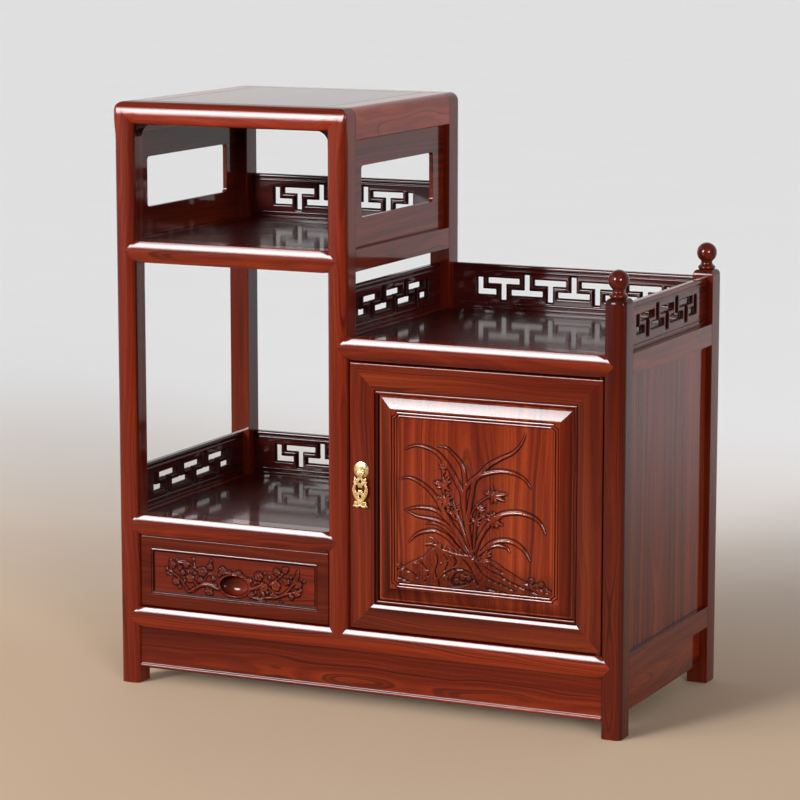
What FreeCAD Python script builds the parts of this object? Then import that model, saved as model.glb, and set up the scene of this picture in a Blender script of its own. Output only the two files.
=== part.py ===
import FreeCAD, Part
import os, math

# Two-level rosewood tea cabinet: an open tower on the left, a low cupboard
# with a fretwork gallery on the right.  All lengths in millimetres.
# Working coordinates: x from the outer left face, y from the front plane
# towards the back, z up from the floor.  The parts are shifted at the end so
# that the origin lies at the middle of the footprint, +Z up, front facing -Y.

# ---------------------------------------------------------------- sizes
W, D, H = 830.0, 405.0, 900.0      # overall
WT = 391.0                         # width of the tower
PW, PD = 33.0, 34.0                # post width (x) and depth (y)
BULGE = 3.4                        # crown of the rounded front faces
RD = 33.0                          # depth of the front rails
YR = D - PD                        # front plane of the rear posts
VD = 20.0                          # depth of the mitred rail shoulders
R_OUT = 14.0                       # rounded outer corner of the tower top
FR_EDGE = 8.5                      # rounding of the long edges on the crowned faces of posts and top rail
FR_RAIL = 2.4                      # the same on the other front rails

TOPZ0 = 866.0                      # front top rail, underside
TSZ0 = 852.0                       # side and rear top rails, underside
S1Z0, S1Z1 = 657.0, 690.0          # level of the first shelf
S2Z0, S2Z1 = 235.0, 267.0          # level of the second shelf
CZ0, CZ1 = 530.0, 563.0            # level of the cupboard top
BZ0, BZ1 = 90.0, 122.0             # base frame
PT = 12.0                          # shelf and top panel thickness
POST_R = 638.0                     # height of the short right-hand posts

GH, GT = 70.0, 12.0                # gallery height and thickness
PITCH_B, PITCH_S = 39.5, 40.5      # fret pitch, back and side galleries

DOOR_X0, DOOR_X1 = 392.5, 795.5
DOOR_Z0, DOOR_Z1 = 124.0, 526.5
DOOR_Y, DOOR_T = 7.5, 22.0
STILE, LIP = 36.0, 46.5            # face width and full width of the frame
HX, HY = 790.2, 12.5               # pivot axis of the door
PIN_R, PIN_CLR = 2.5, 0.05

DRW_X0, DRW_X1 = 34.0, 357.0
DRW_Z0, DRW_Z1 = 123.0, 234.0
DRW_Y, DRW_T = 7.5, 18.0
DRW_BACK = 345.0
HOLE_X, HOLE_Z = 196.5, 169.0      # finger hollow
HOLE_A, HOLE_B, HOLE_DEEP = 24.0, 15.5, 11.0

PULL_X, PULL_Z = 412.0, 365.5      # centre of the brass boss
AX_Y, AX_Z = 2.9, 363.0            # swing axis of the hanging plate

V = FreeCAD.Vector


# ---------------------------------------------------------------- helpers
def box(x0, x1, y0, y1, z0, z1):
    return Part.makeBox(x1 - x0, y1 - y0, z1 - z0, V(x0, y0, z0))


def poly_xz(pts, y0, y1):
    vs = [V(x, y0, z) for x, z in pts]
    f = Part.Face(Part.makePolygon(vs + [vs[0]]))
    return f.extrude(V(0, y1 - y0, 0))


def poly_yz(pts, x0, x1):
    vs = [V(x0, y, z) for y, z in pts]
    f = Part.Face(Part.makePolygon(vs + [vs[0]]))
    return f.extrude(V(x1 - x0, 0, 0))


def poly_xy(pts, z0, z1):
    vs = [V(x, y, z0) for x, y in pts]
    f = Part.Face(Part.makePolygon(vs + [vs[0]]))
    return f.extrude(V(0, 0, z1 - z0))


def cyl(r, h, p, d=(0, 0, 1)):
    return Part.makeCylinder(r, h, V(*p), V(*d))


def round_edges(s, r, test):
    es = []
    for e in s.Edges:
        b = e.BoundBox
        if test(b):
            es.append(e)
    return s.makeFillet(r, es) if es else s


def post_stock(x0, z0, z1, front=True):
    """Square post; the front ones have a crowned face towards -Y."""
    x1 = x0 + PW
    if front:
        a, b, c = V(x0, BULGE, z0), V((x0 + x1) / 2, 0, z0), V(x1, BULGE, z0)
        w = Part.Wire([Part.Arc(a, b, c).toShape(),
                       Part.LineSegment(c, V(x1, PD, z0)).toShape(),
                       Part.LineSegment(V(x1, PD, z0), V(x0, PD, z0)).toShape(),
                       Part.LineSegment(V(x0, PD, z0), a).toShape()])
        s = Part.Face(w).extrude(V(0, 0, z1 - z0))
        return round_edges(s, FR_EDGE, lambda q: q.ZLength > z1 - z0 - 1 and q.YMax < BULGE + 0.1)
    s = box(x0, x1, YR, D, z0, z1)
    return round_edges(s, 2.0, lambda q: q.ZLength > z1 - z0 - 1 and q.YMin > D - 0.1)


def rail_stock(x0, x1, z0, z1, depth=RD, edge=FR_RAIL):
    """Front rail with the same crown as the posts and crisper long edges."""
    a, b, c = V(x0, BULGE, z0), V(x0, 0, (z0 + z1) / 2), V(x0, BULGE, z1)
    w = Part.Wire([Part.Arc(a, b, c).toShape(),
                   Part.LineSegment(c, V(x0, depth, z1)).toShape(),
                   Part.LineSegment(V(x0, depth, z1), V(x0, depth, z0)).toShape(),
                   Part.LineSegment(V(x0, depth, z0), a).toShape()])
    s = Part.Face(w).extrude(V(x1 - x0, 0, 0))
    return round_edges(s, edge, lambda q: q.XLength > x1 - x0 - 1 and q.YMax < BULGE + 0.1)


def vtip(x, z0, z1, side, y0=-2.0, y1=VD):
    """The mitred shoulder of a rail: a pointed wedge from the inner face x of
    a post towards its middle.  side -1 points to -X, +1 to +X."""
    h = (z1 - z0) / 2
    return poly_xz([(x, z0), (x + side * h, (z0 + z1) / 2), (x, z1)], y0, y1)


def front_rail(xa, xb, z0, z1):
    """Rail between the post faces xa and xb, with a wedge at both ends."""
    h = (z1 - z0) / 2
    zm = (z0 + z1) / 2
    stock = rail_stock(xa - h - 1, xb + h + 1, z0, z1)
    hexa = poly_xz([(xa, z0), (xb, z0), (xb + h, zm), (xb, z1), (xa, z1), (xa - h, zm)], -2, VD)
    back = box(xa, xb, VD, RD + 1, z0 - 1, z1 + 1)
    return stock.common(hexa.fuse(back)).removeSplitter()


parts = {}

# ---------------------------------------------------------------- posts
FL, FM, FR = 0.0, WT - PW, W - PW              # left faces of the posts
mitre_l = poly_xz([(-5, H + 5 * (H - TOPZ0) / PW), (PW, TOPZ0), (PW, H + 20), (-5, H + 20)], -5, PD + 1)
mitre_r = poly_xz([(WT + 5, H + 5 * (H - TOPZ0) / PW), (WT - PW, TOPZ0), (WT - PW, H + 20), (WT + 5, H + 20)], -5, PD + 1)


def corner_tool(x, sx, y0, y1):
    """Waste outside the rounded outer top corner at x; sx points inward."""
    c = x + sx * R_OUT
    sq = box(min(x - sx * 5, c), max(x - sx * 5, c), y0, y1, H - R_OUT, H + 5)
    return sq.cut(cyl(R_OUT, y1 - y0 + 2, (c, y0 - 1, H - R_OUT), (0, 1, 0)))


round_l = corner_tool(0.0, 1, -5, D + 5)
round_r = corner_tool(WT, -1, -5, D + 5)

p = post_stock(FL, 0, H)
p = p.cut(mitre_l).cut(vtip(PW, S1Z0, S1Z1, -1)).cut(vtip(PW, S2Z0, S2Z1, -1)).cut(vtip(PW, BZ0, BZ1, -1)).cut(round_l)
parts["post_front_left"] = p

hb = (BZ1 - BZ0) / 2
xm = FM + PW / 2
p = post_stock(FM, BZ0, H)
keep = poly_xz([(FM - 1, BZ1 + 0), (FM, BZ1), (xm, BZ1 - PW / 2), (WT, BZ1), (WT + 1, BZ1), (WT + 1, H + 1), (FM - 1, H + 1)], -2, VD)
keep = keep.fuse(box(FM - 1, WT + 1, VD, PD + 1, BZ1, H + 1))
p = p.common(keep)
p = p.cut(mitre_r).cut(vtip(FM, S1Z0, S1Z1, 1)).cut(vtip(FM, S2Z0, S2Z1, 1)).cut(vtip(WT, CZ0, CZ1, -1)).cut(round_r)
parts["post_front_middle"] = p.removeSplitter()


def short_post(x0, front):
    """Right-hand post with a softly rounded shoulder under its finial."""
    s = post_stock(x0, 0, POST_R, front)
    ya, yb = (0, PD) if front else (YR, D)
    cx, cy = x0 + PW / 2, (ya + yb) / 2
    rr = 6.0
    t = box(x0 - 5, x0 + PW + 5, ya - 5, yb + 5, POST_R - rr, POST_R + 5)
    a = poly_xz([(x0 + rr - rr * math.cos(k * math.pi / 12), POST_R - rr + rr * math.sin(k * math.pi / 12)) for k in range(7)]
                + [(x0 + PW - rr + rr * math.sin(k * math.pi / 12), POST_R - rr + rr * math.cos(k * math.pi / 12)) for k in range(7)]
                , ya - 5, yb + 5)
    b = poly_yz([(ya + rr - rr * math.cos(k * math.pi / 12), POST_R - rr + rr * math.sin(k * math.pi / 12)) for k in range(7)]
                + [(yb - rr + rr * math.sin(k * math.pi / 12), POST_R - rr + rr * math.cos(k * math.pi / 12)) for k in range(7)]
                , x0 - 5, x0 + PW + 5)
    return s.cut(t.cut(a.common(b)))


parts["post_front_right"] = short_post(FR, True).cut(vtip(FR, CZ0, CZ1, 1)).cut(vtip(FR, BZ0, BZ1, 1))
parts["post_rear_left"] = post_stock(FL, 0, H, False).cut(round_l)
parts["post_rear_middle"] = post_stock(FM, BZ1, H, False).cut(round_r)
parts["post_rear_right"] = short_post(FR, False)


# ---------------------------------------------------------------- finials
def finial(cx, cy):
    z = POST_R
    prof = [(0, z), (14.0, z), (13.4, z + 1.6), (12.0, z + 3.6), (11.2, z + 5.6), (11.2, z + 7.4), (11.8, z + 8.6), (12.8, z + 10.0),
            (13.2, z + 12.2), (12.8, z + 14.4), (11.4, z + 15.9), (9.8, z + 16.8), (9.0, z + 18.4)]
    R = 14.6
    zc = z + 32.4
    a0 = math.asin(9.2 / R)
    n = 14
    for k in range(n + 1):
        a = a0 + (math.pi - a0) * k / n
        prof.append((max(R * math.sin(a), 0.0), zc - R * math.cos(a)))
    prof[-1] = (0, zc + R)
    vs = [V(cx + r, cy, zz) for r, zz in prof]
    f = Part.Face(Part.makePolygon(vs + [vs[0]]))
    return f.revolve(V(cx, cy, 0), V(0, 0, 1), 360)


parts["finials"] = Part.makeCompound([finial(FR + PW / 2, PD / 2), finial(FR + PW / 2, YR + PD / 2)])

# ---------------------------------------------------------------- front rails
stock = rail_stock(-1, WT + 1, TOPZ0, H, PD, FR_EDGE)
outline = poly_xz([(PW, TOPZ0), (0, H), (WT, H), (WT - PW, TOPZ0)], -2, PD + 1)
parts["rail_front_top"] = stock.common(outline).cut(round_l).cut(round_r)
parts["rail_front_shelf1"] = front_rail(PW, FM, S1Z0, S1Z1)
parts["rail_front_shelf2"] = front_rail(PW, FM, S2Z0, S2Z1)
pin_hole_top = cyl(PIN_R, 15, (HX, HY, CZ0))
parts["rail_front_cabinet"] = front_rail(WT, FR, CZ0, CZ1).cut(pin_hole_top)
base = front_rail(PW, FR, BZ0, BZ1)
notch = poly_xz([(FM, BZ1), (xm, BZ1 - PW / 2), (WT, BZ1), (WT, BZ1 + 5), (FM, BZ1 + 5)], -2, VD)
pin_hole_bot = cyl(PIN_R, 14, (HX, HY, BZ1 - 14))
parts["rail_front_base"] = base.cut(notch).cut(pin_hole_bot)


def bracket(x, sx):
    r = 20.0
    a = 19.4
    sq = box(min(x, x + sx * a), max(x, x + sx * a), 10.0, 30.0, TOPZ0 - a, TOPZ0)
    return sq.cut(cyl(r, 60, (x + sx * r, -5, TOPZ0 - r), (0, 1, 0)))


parts["corner_brackets"] = Part.makeCompound([bracket(PW, 1), bracket(FM, -1)])

# ---------------------------------------------------------------- rear rails
parts["rail_rear_top"] = box(PW, FM, YR, D, TSZ0, H)
parts["rail_rear_shelf1"] = box(PW, FM, YR, D, S1Z0, S1Z1)
parts["rail_rear_shelf2"] = box(PW, FM, YR, D, S2Z0, S2Z1)
parts["rail_rear_cabinet"] = box(WT, FR, YR, D, CZ0, CZ1)
parts["rail_rear_base"] = box(PW, FR, YR, D, BZ0, BZ1)


# ---------------------------------------------------------------- side rails
def top_side(x, sx):
    """Rabbeted top side rail, 48 wide above and 24 wide below."""
    a = box(min(x, x + sx * 24), max(x, x + sx * 24), PD, YR, TSZ0, H)
    b = box(min(x, x + sx * 48), max(x, x + sx * 48), PD, YR, 880.0, H)
    return a.fuse(b).removeSplitter()


parts["rails_side_top"] = Part.makeCompound([top_side(0, 1).cut(round_l), top_side(WT, -1).cut(round_r)])
parts["rails_side_shelf1"] = Part.makeCompound([box(FL, PW, PD, YR, S1Z0, S1Z1), box(FM, WT, PD, YR, S1Z0, S1Z1)])
parts["rails_side_shelf2"] = Part.makeCompound([box(FL, PW, PD, YR, S2Z0, S2Z1), box(FM, WT, PD, YR, S2Z0, S2Z1)])
parts["rails_side_cabinet"] = Part.makeCompound([box(FM, WT, PD, YR, CZ0, CZ1), box(FR, W, PD, YR, CZ0, CZ1)])
parts["rails_side_base"] = Part.makeCompound([box(FL, PW, PD, YR, BZ0, BZ1), box(FM, WT, RD, YR, BZ0, BZ1), box(FR, W, PD, YR, BZ0, BZ1)])


# ---------------------------------------------------------------- boards
def board(x0, x1, y0, y1, z0, z1, ch=0.7):
    """Loose panel with its upper edges broken, so that its joint reads as a fine line."""
    b = box(x0, x1, y0, y1, z0, z1)
    es = [e for e in b.Edges if e.BoundBox.ZMin > z1 - 0.01]
    return b.makeChamfer(ch, es)


parts["panel_tower_top"] = board(48.0, WT - 48.0, PD, YR, H - 14.0, H)
parts["panel_shelf1"] = board(PW, FM, RD, YR, S1Z1 - PT, S1Z1)
parts["panel_shelf2"] = board(PW, FM, RD, YR, S2Z1 - PT, S2Z1)
parts["panel_cabinet_top"] = board(WT, FR, RD, YR, CZ1 - PT, CZ1)
parts["panels_bottom"] = Part.makeCompound([board(PW, FM, RD, YR, BZ1 - PT, BZ1), board(WT, FR, RD, YR, BZ1 - PT, BZ1)])
parts["panel_battens"] = Part.makeCompound([
    box(24.0, WT - 24.0, 192, 212, H - 14.0 - 12.0, H - 14.0).cut(box(0, 48, 180, 220, 880, H)).cut(box(WT - 48, WT, 180, 220, 880, H)),
    box(PW, FM, 192, 212, S1Z0 + 2, S1Z1 - PT),
    box(PW, FM, 192, 212, S2Z0 + 3, S2Z1 - PT),
    box(WT, FR, 192, 212, CZ0 + 2, CZ1 - PT)])

# ---------------------------------------------------------------- upright panels
WIN = (74.0, 331.0, 734.0, 811.0)              # window in the tower sides: y0 y1 z0 z1


def tower_side(x0, x1):
    s = box(x0, x1, PD, YR, S1Z1, TSZ0)
    w = box(x0 - 5, x1 + 5, WIN[0], WIN[1], WIN[2], WIN[3])
    return s.cut(round_edges(w, 6.0, lambda q: q.XLength > x1 - x0 + 9))


parts["panel_tower_side_left"] = tower_side(10.0, 17.0)
parts["panel_tower_side_right"] = tower_side(WT - 17.0, WT - 10.0)
parts["panel_lower_side_left"] = box(9.0, 17.0, PD, YR, BZ1, S2Z0)
parts["panel_side_right"] = box(W - 17.0, W - 9.0, PD, YR, BZ1, CZ0)
parts["panels_divider"] = Part.makeCompound([box(370.0, 378.0, PD, YR, S2Z1, CZ0), box(370.0, 378.0, PD, YR, BZ1, S2Z0)])
parts["panel_back_cabinet"] = box(WT, FR, 390.0, 397.0, BZ1, CZ0)
parts["panel_back_drawer"] = box(PW, FM, 390.0, 397.0, BZ1, S2Z0)


# ---------------------------------------------------------------- fretwork galleries
# heights of the fret above the shelf: T bar, T stem foot, inverted T bar and stem head
T_BAR0, T_BAR1, T_FOOT = 39.6, 49.3, 12.8
I_BAR0, I_BAR1, I_HEAD = 21.4, 31.0, 57.8
HALF, STEM = 27.6, 5.4             # half length of a bar, half width of a stem


def fret_rects(n, pitch, centre):
    """Openings in a gallery as (u0, u1, v0, v1): n figures, alternating an
    inverted T and a T; the first and last are halves."""
    out = []
    for i in range(n):
        u = centre + (i - (n - 1) / 2) * pitch
        if i % 2 == 1:
            out.append([(u - HALF, u + HALF, T_BAR0, T_BAR1), (u - STEM, u + STEM, T_FOOT, T_BAR0)])
        else:
            a = u - (STEM if i == 0 else HALF)
            b = u + (STEM if i == n - 1 else HALF)
            head = T_BAR1 if i in (0, n - 1) else I_HEAD
            out.append([(a, b, I_BAR0, I_BAR1), (u - STEM, u + STEM, I_BAR1, head)])
    return out


def gallery(u0, u1, n, pitch, zb, along, w0, centre=None):
    """Board from u0 to u1 along X or Y, w0..w0+GT across, standing on zb.
    Its head and foot carry a bead proud of the pierced field."""
    c = (u0 + u1) / 2 if centre is None else centre
    rc = 1.6

    def bx(a0, a1, b0, b1, z0, z1):
        return box(a0, a1, b0, b1, z0, z1) if along == "x" else box(b0, b1, a0, a1, z0, z1)
    body = bx(u0, u1, w0 + rc, w0 + GT - rc, zb, zb + GH)
    head = bx(u0, u1, w0, w0 + GT, zb + GH - 8.0, zb + GH)
    foot = bx(u0, u1, w0, w0 + GT, zb, zb + 9.0)
    L = u1 - u0
    if along == "x":
        head = round_edges(head, 1.5, lambda q: q.XLength > L - 1)
        foot = round_edges(foot, 1.5, lambda q: q.XLength > L - 1 and q.ZMin > zb + 8)
    else:
        head = round_edges(head, 1.5, lambda q: q.YLength > L - 1)
        foot = round_edges(foot, 1.5, lambda q: q.YLength > L - 1 and q.ZMin > zb + 8)
    s = body.fuse([head, foot])
    tools = []
    for fig in fret_rects(n, pitch, c):
        (a, b) = fig
        t = bx(a[0], a[1], w0 - 1, w0 + GT + 1, zb + a[2], zb + a[3])
        t = t.fuse(bx(b[0], b[1], w0 - 1, w0 + GT + 1, zb + b[2], zb + b[3]))
        tools.append(t)
    for t in tools:
        s = s.cut(t)
    return s.removeSplitter()


GY = 388.0                                    # front face of the rear galleries
parts["gallery_shelf1_rear"] = gallery(PW, FM, 7, PITCH_B, S1Z1, "x", GY)
parts["gallery_shelf2_rear"] = gallery(PW, FM, 7, PITCH_B, S2Z1, "x", GY)
parts["gallery_shelf2_left"] = gallery(PD, YR, 7, PITCH_S, S2Z1, "y", 10.0)
parts["gallery_cabinet_left"] = gallery(PD, YR, 7, PITCH_S, CZ1, "y", 364.5)
parts["gallery_cabinet_rear"] = gallery(WT, FR, 9, PITCH_B, CZ1, "x", GY)
parts["gallery_cabinet_right"] = gallery(PD, YR, 7, PITCH_S, CZ1, "y", W - 22.0)

# ---------------------------------------------------------------- aprons
ap = box(PW, FR, 8.0, 22.0, 25.0, BZ0)
bead = round_edges(box(PW, FR, 5.0, 8.0, 25.0, 31.0), 1.4, lambda q: q.XLength > 500 and q.YMax < 5.1)
parts["apron_front"] = ap.fuse(bead).removeSplitter()
parts["aprons_side"] = Part.makeCompound([box(12.0, 26.0, PD, YR, 30.0, BZ0), box(W - 26.0, W - 12.0, PD, YR, 30.0, BZ0)])

# ---------------------------------------------------------------- drawer
fr = box(DRW_X0, DRW_X1, DRW_Y, DRW_Y + DRW_T, DRW_Z0, DRW_Z1)
fr = round_edges(fr, 1.8, lambda q: q.YMax < DRW_Y + 0.1)
# incised border line
gx0, gx1, gz0, gz1 = DRW_X0 + 20.5, DRW_X1 - 20.5, DRW_Z0 + 20.5, DRW_Z1 - 19.0
ring = box(gx0, gx1, DRW_Y - 1, DRW_Y + 1.6, gz0, gz1).cut(box(gx0 + 2.4, gx1 - 2.4, DRW_Y - 2, DRW_Y + 3, gz0 + 2.4, gz1 - 2.4))
fr = fr.cut(ring)
# oval finger hollow, scooped in three steps


def oval(k, y, n=24):
    vs = [V(HOLE_X + k * HOLE_A * math.cos(2 * math.pi * i / n), y, HOLE_Z + k * HOLE_B * math.sin(2 * math.pi * i / n)) for i in range(n)]
    return Part.makePolygon(vs + [vs[0]])


for k0, d0, k1, d1 in ((1.04, -0.5, 0.94, 5.0), (0.94, 5.0, 0.72, 8.6), (0.72, 8.6, 0.40, HOLE_DEEP)):
    fr = fr.cut(Part.makeLoft([oval(k0, DRW_Y + d0), oval(k1, DRW_Y + d1)], True, True))
parts["drawer_front"] = fr
SX0, SX1 = 38.0, 353.0
parts["drawer_sides"] = Part.makeCompound([
    box(SX0, SX0 + 10, DRW_Y + DRW_T, DRW_BACK, 127.0, 222.0),
    box(SX1 - 10, SX1, DRW_Y + DRW_T, DRW_BACK, 127.0, 222.0)])
parts["drawer_back"] = box(SX0 + 10, SX1 - 10, DRW_BACK - 10, DRW_BACK, 129.0, 216.0)
parts["drawer_bottom"] = box(SX0 + 10, SX1 - 10, DRW_Y + DRW_T, DRW_BACK - 10, 129.0, 134.0)
parts["drawer_runners"] = Part.makeCompound([box(PW, 53.0, PD, YR, BZ1, 126.8), box(338.0, FM, PD, YR, BZ1, 126.8)])
parts["drawer_guides"] = Part.makeCompound([box(PW, 37.4, PD, YR, 126.8, 142.0), box(353.6, FM, PD, YR, 126.8, 142.0)])


# ---------------------------------------------------------------- door
def member(length, mitre):
    """Frame member lying along +u from 0 to length, outer edge at v=0, face at
    y=DOOR_Y: flat face, rounded step, bead and rebate towards the panel."""
    y0, y1 = DOOR_Y, DOOR_Y + DOOR_T
    a = [(0, y0 + 1.8), (1.8, y0)]
    prof = a + [(STILE, y0)]
    for k in range(1, 7):
        t = k * math.pi / 12
        prof.append((STILE + 4.2 * math.sin(t), y0 + 4.2 - 4.2 * math.cos(t)))
    prof += [(STILE + 4.2, y0 + 5.2), (STILE + 5.4, y0 + 5.2), (STILE + 6.2, y0 + 4.2), (STILE + 7.6, y0 + 3.8),
             (STILE + 9.0, y0 + 4.4), (STILE + 9.4, y0 + 6.8), (LIP, y0 + 6.8), (LIP, y1), (0, y1)]
    vs = [V(0, y, v) for v, y in prof]                     # u = x, v = z
    s = Part.Face(Part.makePolygon(vs + [vs[0]])).extrude(V(length, 0, 0))
    cut1 = poly_xz([(-1, -1), (LIP + 2, LIP + 2), (-1, LIP + 2)], 0, 60)
    cut2 = poly_xz([(length + 1, -1), (length - LIP - 2, LIP + 2), (length + 1, LIP + 2)], 0, 60)
    return s.cut(cut1).cut(cut2)


DW, DH = DOOR_X1 - DOOR_X0, DOOR_Z1 - DOOR_Z0
bot = member(DW, True)
bot.translate(V(DOOR_X0, 0, DOOR_Z0))
top = member(DW, True)
top.rotate(V(0, 0, 0), V(0, 1, 0), 180)
top.translate(V(DOOR_X1, 0, DOOR_Z1))
lft = member(DH, True)
lft.rotate(V(0, 0, 0), V(0, 1, 0), 90)
lft.translate(V(DOOR_X0, 0, DOOR_Z1))
rgt = member(DH, True)
rgt.rotate(V(0, 0, 0), V(0, 1, 0), -90)
rgt.translate(V(DOOR_X1, 0, DOOR_Z0))
hole_t = cyl(PIN_R + PIN_CLR, 13.0, (HX, HY, DOOR_Z1 - 13.0))
hole_b = cyl(PIN_R + PIN_CLR, 13.0, (HX, HY, DOOR_Z0))
parts["door_stiles"] = Part.makeCompound([lft.cut(hole_t).cut(hole_b), rgt.cut(hole_t).cut(hole_b)])
parts["door_rails"] = Part.makeCompound([bot.cut(hole_t).cut(hole_b), top.cut(hole_t).cut(hole_b)])

# raised panel: lip, bevel up to the field, pocket inside the bead border
px0, px1, pz0, pz1 = DOOR_X0 + LIP, DOOR_X1 - LIP, DOOR_Z0 + LIP, DOOR_Z1 - LIP
yl, yf, yb = DOOR_Y + 6.0, DOOR_Y + 1.0, DOOR_Y + 19.0


def ring_rect(d, y):
    return Part.makePolygon([V(px0 + d, y, pz0 + d), V(px1 - d, y, pz0 + d), V(px1 - d, y, pz1 - d), V(px0 + d, y, pz1 - d), V(px0 + d, y, pz0 + d)])


slab = box(px0, px1, yl, yb, pz0, pz1)
bev = Part.makeLoft([ring_rect(3.5, yl), ring_rect(19.5, yf + 1.0)], True, True)
fld = box(px0 + 19.5, px1 - 19.5, yf, yf + 1.0, pz0 + 19.5, pz1 - 19.5)
pan = slab.fuse([bev, fld]).removeSplitter()
pocket = box(px0 + 29.0, px1 - 29.0, yf - 1, yf + 1.8, pz0 + 29.0, pz1 - 29.0)
pan = pan.cut(pocket)
parts["door_panel"] = pan

# ---------------------------------------------------------------- pivots and catch
parts["pivot_pins"] = Part.makeCompound([
    cyl(PIN_R, 15 + (CZ0 - DOOR_Z1) + 11, (HX, HY, DOOR_Z1 - 11)),
    cyl(PIN_R, 14 + (DOOR_Z0 - BZ1) + 11, (HX, HY, BZ1 - 14)).fuse(cyl(5.0, DOOR_Z0 - BZ1 - 0.05, (HX, HY, BZ1))).removeSplitter()])
# magnet block fixed to the divider, steel strip on the back of the door
parts["door_catch"] = box(378.0, 407.0, PD, 52.0, 478.0, 508.0).fuse(box(392.6, 407.0, 30.4, PD, 478.0, 508.0)).removeSplitter()
parts["catch_plate"] = box(394.0, 408.0, DOOR_Y + DOOR_T, DOOR_Y + DOOR_T + 0.8, 476.0, 510.0)

# ---------------------------------------------------------------- brass pull
# boss: a low dome with two cheeks that carry the cross pin
Rb, hb2 = 12.2, 2.3
Rs = (Rb * Rb + hb2 * hb2) / (2 * hb2)
sph = Part.makeSphere(Rs, V(PULL_X, DOOR_Y - hb2 + Rs, PULL_Z))
boss = sph.common(box(PULL_X - 20, PULL_X + 20, DOOR_Y - 5, DOOR_Y, PULL_Z - 20, PULL_Z + 20))
for sgn in (-1, 1):
    x0 = PULL_X + sgn * 2.2
    x1 = PULL_X + sgn * 3.6
    a, b = min(x0, x1), max(x0, x1)
    ck = cyl(2.2, b - a, (a, AX_Y, AX_Z), (1, 0, 0)).fuse(box(a, b, AX_Y, DOOR_Y - 0.6, AX_Z - 2.2, AX_Z + 2.2))
    boss = boss.fuse(ck)
pin = cyl(0.9, 7.2, (PULL_X - 3.6, AX_Y, AX_Z), (1, 0, 0))
parts["pull_boss"] = boss.cut(pin).removeSplitter()
parts["pull_pin"] = pin

# hanging plate: knuckle on the pin, then a pierced flat with a flared foot
y0, y1 = 2.0, 3.8
kn = cyl(1.9, 4.0, (PULL_X - 2.0, AX_Y, AX_Z), (1, 0, 0))
half = [(1.9, 361.9), (2.0, 359.5), (4.6, 357.6), (4.8, 354.2), (6.4, 352.6), (8.6, 354.4), (10.6, 353.0), (9.6, 349.6), (11.4, 347.0),
        (10.2, 344.6), (11.8, 341.0), (12.7, 336.5), (12.4, 331.5), (10.8, 327.0), (8.0, 323.0), (5.2, 319.6), (7.0, 317.6), (9.2, 319.0),
        (9.8, 314.8), (12.3, 310.6), (8.6, 310.9), (4.6, 309.0), (0.0, 311.0)]
pts = [(PULL_X + a, b) for a, b in half] + [(PULL_X - a, b) for a, b in reversed(half[:-1])]
pl = poly_xz(pts, y0, y1)


def diamond(x, z, a, b):
    return poly_xz([(x - a, z), (x, z + b), (x + a, z), (x, z - b)], y0 - 1, y1 + 1)


pl = pl.cut(diamond(PULL_X, 348.2, 2.0, 2.8)).cut(diamond(PULL_X, 325.6, 2.0, 2.8))
hole = poly_xz([(PULL_X - 6.4, 342.6), (PULL_X - 3.6, 342.6), (PULL_X - 3.2, 339.0), (PULL_X + 3.2, 339.0), (PULL_X + 3.6, 342.6), (PULL_X + 6.4, 342.6),
                (PULL_X + 6.8, 336.0), (PULL_X + 5.2, 331.0), (PULL_X + 3.4, 331.0), (PULL_X + 3.2, 334.4), (PULL_X - 3.2, 334.4), (PULL_X - 3.4, 331.0), (PULL_X - 5.2, 331.0), (PULL_X - 6.8, 336.0)], y0 - 1, y1 + 1)
pl = pl.cut(hole)
pl = pl.fuse(kn).fuse(box(PULL_X - 1.9, PULL_X + 1.9, y0, y1, 360.5, AX_Z)).cut(cyl(0.95, 12, (PULL_X - 6, AX_Y, AX_Z), (1, 0, 0)))
parts["pull_plate"] = pl.removeSplitter()

# ---------------------------------------------------------------- write
os.makedirs("parts", exist_ok=True)
shift = V(-W / 2, -D / 2, 0)
allbb = None
for name in sorted(parts):
    s = parts[name].copy()
    s.translate(shift)
    if not s.isValid():
        print("INVALID", name)
    n = len(s.Solids)
    print("%-26s solids %d  volume %.0f" % (name, n, s.Volume))
    if s.ShapeType == "Compound" and n == 1:
        s = s.Solids[0]
    s.exportStep("parts/%s.step" % name)
    bb = s.BoundBox
    if allbb is None:
        allbb = FreeCAD.BoundBox(bb)
    else:
        allbb.add(bb)
print("nodes", len(parts))
print("box x %.2f..%.2f y %.2f..%.2f z %.2f..%.2f" % (allbb.XMin, allbb.XMax, allbb.YMin, allbb.YMax, allbb.ZMin, allbb.ZMax))
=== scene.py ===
import bpy, bmesh, math
import numpy as np
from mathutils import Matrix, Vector


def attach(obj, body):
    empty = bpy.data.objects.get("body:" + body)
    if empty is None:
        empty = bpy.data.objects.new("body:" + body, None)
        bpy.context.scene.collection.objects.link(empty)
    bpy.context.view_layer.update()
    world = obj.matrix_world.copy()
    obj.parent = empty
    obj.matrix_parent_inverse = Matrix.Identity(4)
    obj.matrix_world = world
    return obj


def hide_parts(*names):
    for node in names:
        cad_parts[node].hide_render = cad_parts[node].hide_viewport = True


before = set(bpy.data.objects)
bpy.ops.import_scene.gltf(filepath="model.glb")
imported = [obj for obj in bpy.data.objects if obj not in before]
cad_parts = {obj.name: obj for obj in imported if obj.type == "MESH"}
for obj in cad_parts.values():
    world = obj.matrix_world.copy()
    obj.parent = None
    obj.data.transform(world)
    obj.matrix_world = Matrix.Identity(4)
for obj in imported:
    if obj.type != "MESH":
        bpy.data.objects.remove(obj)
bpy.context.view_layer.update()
scene = bpy.context.scene

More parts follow.
